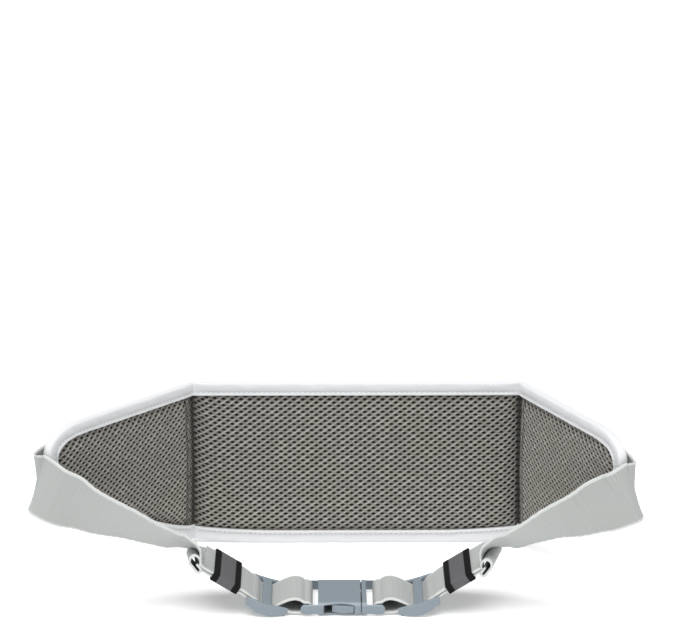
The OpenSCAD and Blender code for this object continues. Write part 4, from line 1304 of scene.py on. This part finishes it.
# the rim is darkened by its groove attribute: painted shade
rimFabric = fabricMaterial("rimFabric", (0.74, 0.748, 0.765), (0.66, 0.668, 0.685), 0.9, 0.8, 0.1, 0.45,
                           "groove")
stripFabric = fabricMaterial("stripFabric", (0.8, 0.808, 0.825), (0.68, 0.685, 0.7), 0.9, 0.8, 0.1, 0.45)
tapeFabric = fabricMaterial("tapeFabric", (0.84, 0.83, 0.87), (0.66, 0.65, 0.69), 0.55, 0.7, 0.1, 0.5)
trimFabric = fabricMaterial("trimFabric", (0.13, 0.13, 0.135), (0.07, 0.07, 0.073), 0.7, 0.8, 0.1, 0.5)
thread = plasticMaterial("thread", (0.8, 0.8, 0.79), 0.6, 0.0, 0.3)
paint(shellFabric, *pocketFronts, *linings)
paint(rimFabric, rimObject)
paint(stripFabric, *strips)
paint(tapeFabric, *tapes)
paint(trimFabric, *trims)
paint(thread, rimStitches, *stripStitches, *strapStitches)
paint(plasticMaterial("zipCoil", (0.84, 0.83, 0.87), 0.45, 0.1), *teeth)
paint(spacerMaterial(), *spacerPanels.values())
paint(webbingMaterial(), *straps)
paint(keeperMaterial(), *keepers)
paint(plasticMaterial("bucklePlastic", (0.21, 0.25, 0.285), 0.36), *plastics)
paint(plasticMaterial("pullPlastic", (0.82, 0.81, 0.76), 0.42), *pulls)
paint(rubberMaterial(), port)


# ---- floor, light and camera ----

def addFloor():
    bpy.ops.object.select_all(action="DESELECT")
    bpy.ops.mesh.primitive_plane_add(size=12)
    obj = bpy.context.object
    obj.name = "floor"
    material, tree, shader = startMaterial("paleFloor", 0.9, 0.0, 0.0)
    tone = useGroup(tree, grain, Size=0.4, Low=0.995, High=1.0).outputs[0]
    finishMaterial(material, tree, shader, blendColours(tree, (0.88, 0.88, 0.88), (0.9, 0.9, 0.9), tone))
    shader.inputs["Emission Color"].default_value = (1, 1, 1, 1)
    shader.inputs["Emission Strength"].default_value = 0.25
    obj.data.materials.append(material)


def addLight(name, place, strength, spread):  # even daylight from far off, shining at the middle
    data = bpy.data.lights.new(name, "SUN")
    data.energy, data.angle = strength, math.radians(spread)
    obj = bpy.data.objects.new(name, data)
    bpy.context.collection.objects.link(obj)
    obj.location = place
    obj.rotation_euler = (-Vector(place)).to_track_quat("-Z", "Y").to_euler()


def addWorld(strength):
    world = bpy.data.worlds.new("studio")
    world.use_nodes = True
    background = world.node_tree.nodes["Background"]
    background.inputs["Color"].default_value = (1, 1, 1, 1)
    tree = world.node_tree
    where = tree.nodes.new("ShaderNodeTexCoord")
    split = tree.nodes.new("ShaderNodeSeparateXYZ")
    fade = tree.nodes.new("ShaderNodeMapRange")
    tree.links.new(where.outputs["Generated"], split.inputs[0])
    tree.links.new(split.outputs["Z"], fade.inputs["Value"])
    for label, value in (("From Min", 0.12), ("From Max", 0.4), ("To Min", 1.0), ("To Max", strength)):
        fade.inputs[label].default_value = value
    tree.links.new(fade.outputs[0], background.inputs["Strength"])
    bpy.context.scene.world = world


def addCamera():
    view = {"at": (0.0210, 1.9593, 0.7340), "pan": -0.30, "tilt": 16.34, "lens": 168.55}
    data = bpy.data.cameras.new("camera")
    data.lens, data.sensor_width = view["lens"], 36
    data.clip_start, data.clip_end = 0.05, 50
    obj = bpy.data.objects.new("camera", data)
    bpy.context.collection.objects.link(obj)
    obj.location = view["at"]
    pan, tilt = math.radians(view["pan"]), math.radians(view["tilt"])
    look = Vector((math.sin(pan) * math.cos(tilt), -math.cos(pan) * math.cos(tilt), -math.sin(tilt)))
    obj.rotation_euler = look.to_track_quat("-Z", "Y").to_euler()
    bpy.context.scene.camera = obj


print("stage and camera")
addFloor()
addWorld(0.2)
addLight("keyLight", (0.12, 0.3, 1.5), 3.3, 60)
addLight("fillLight", (0.25, 1.6, 0.9), 0.3, 70)
addCamera()
bpy.context.scene.view_settings.view_transform = "Standard"
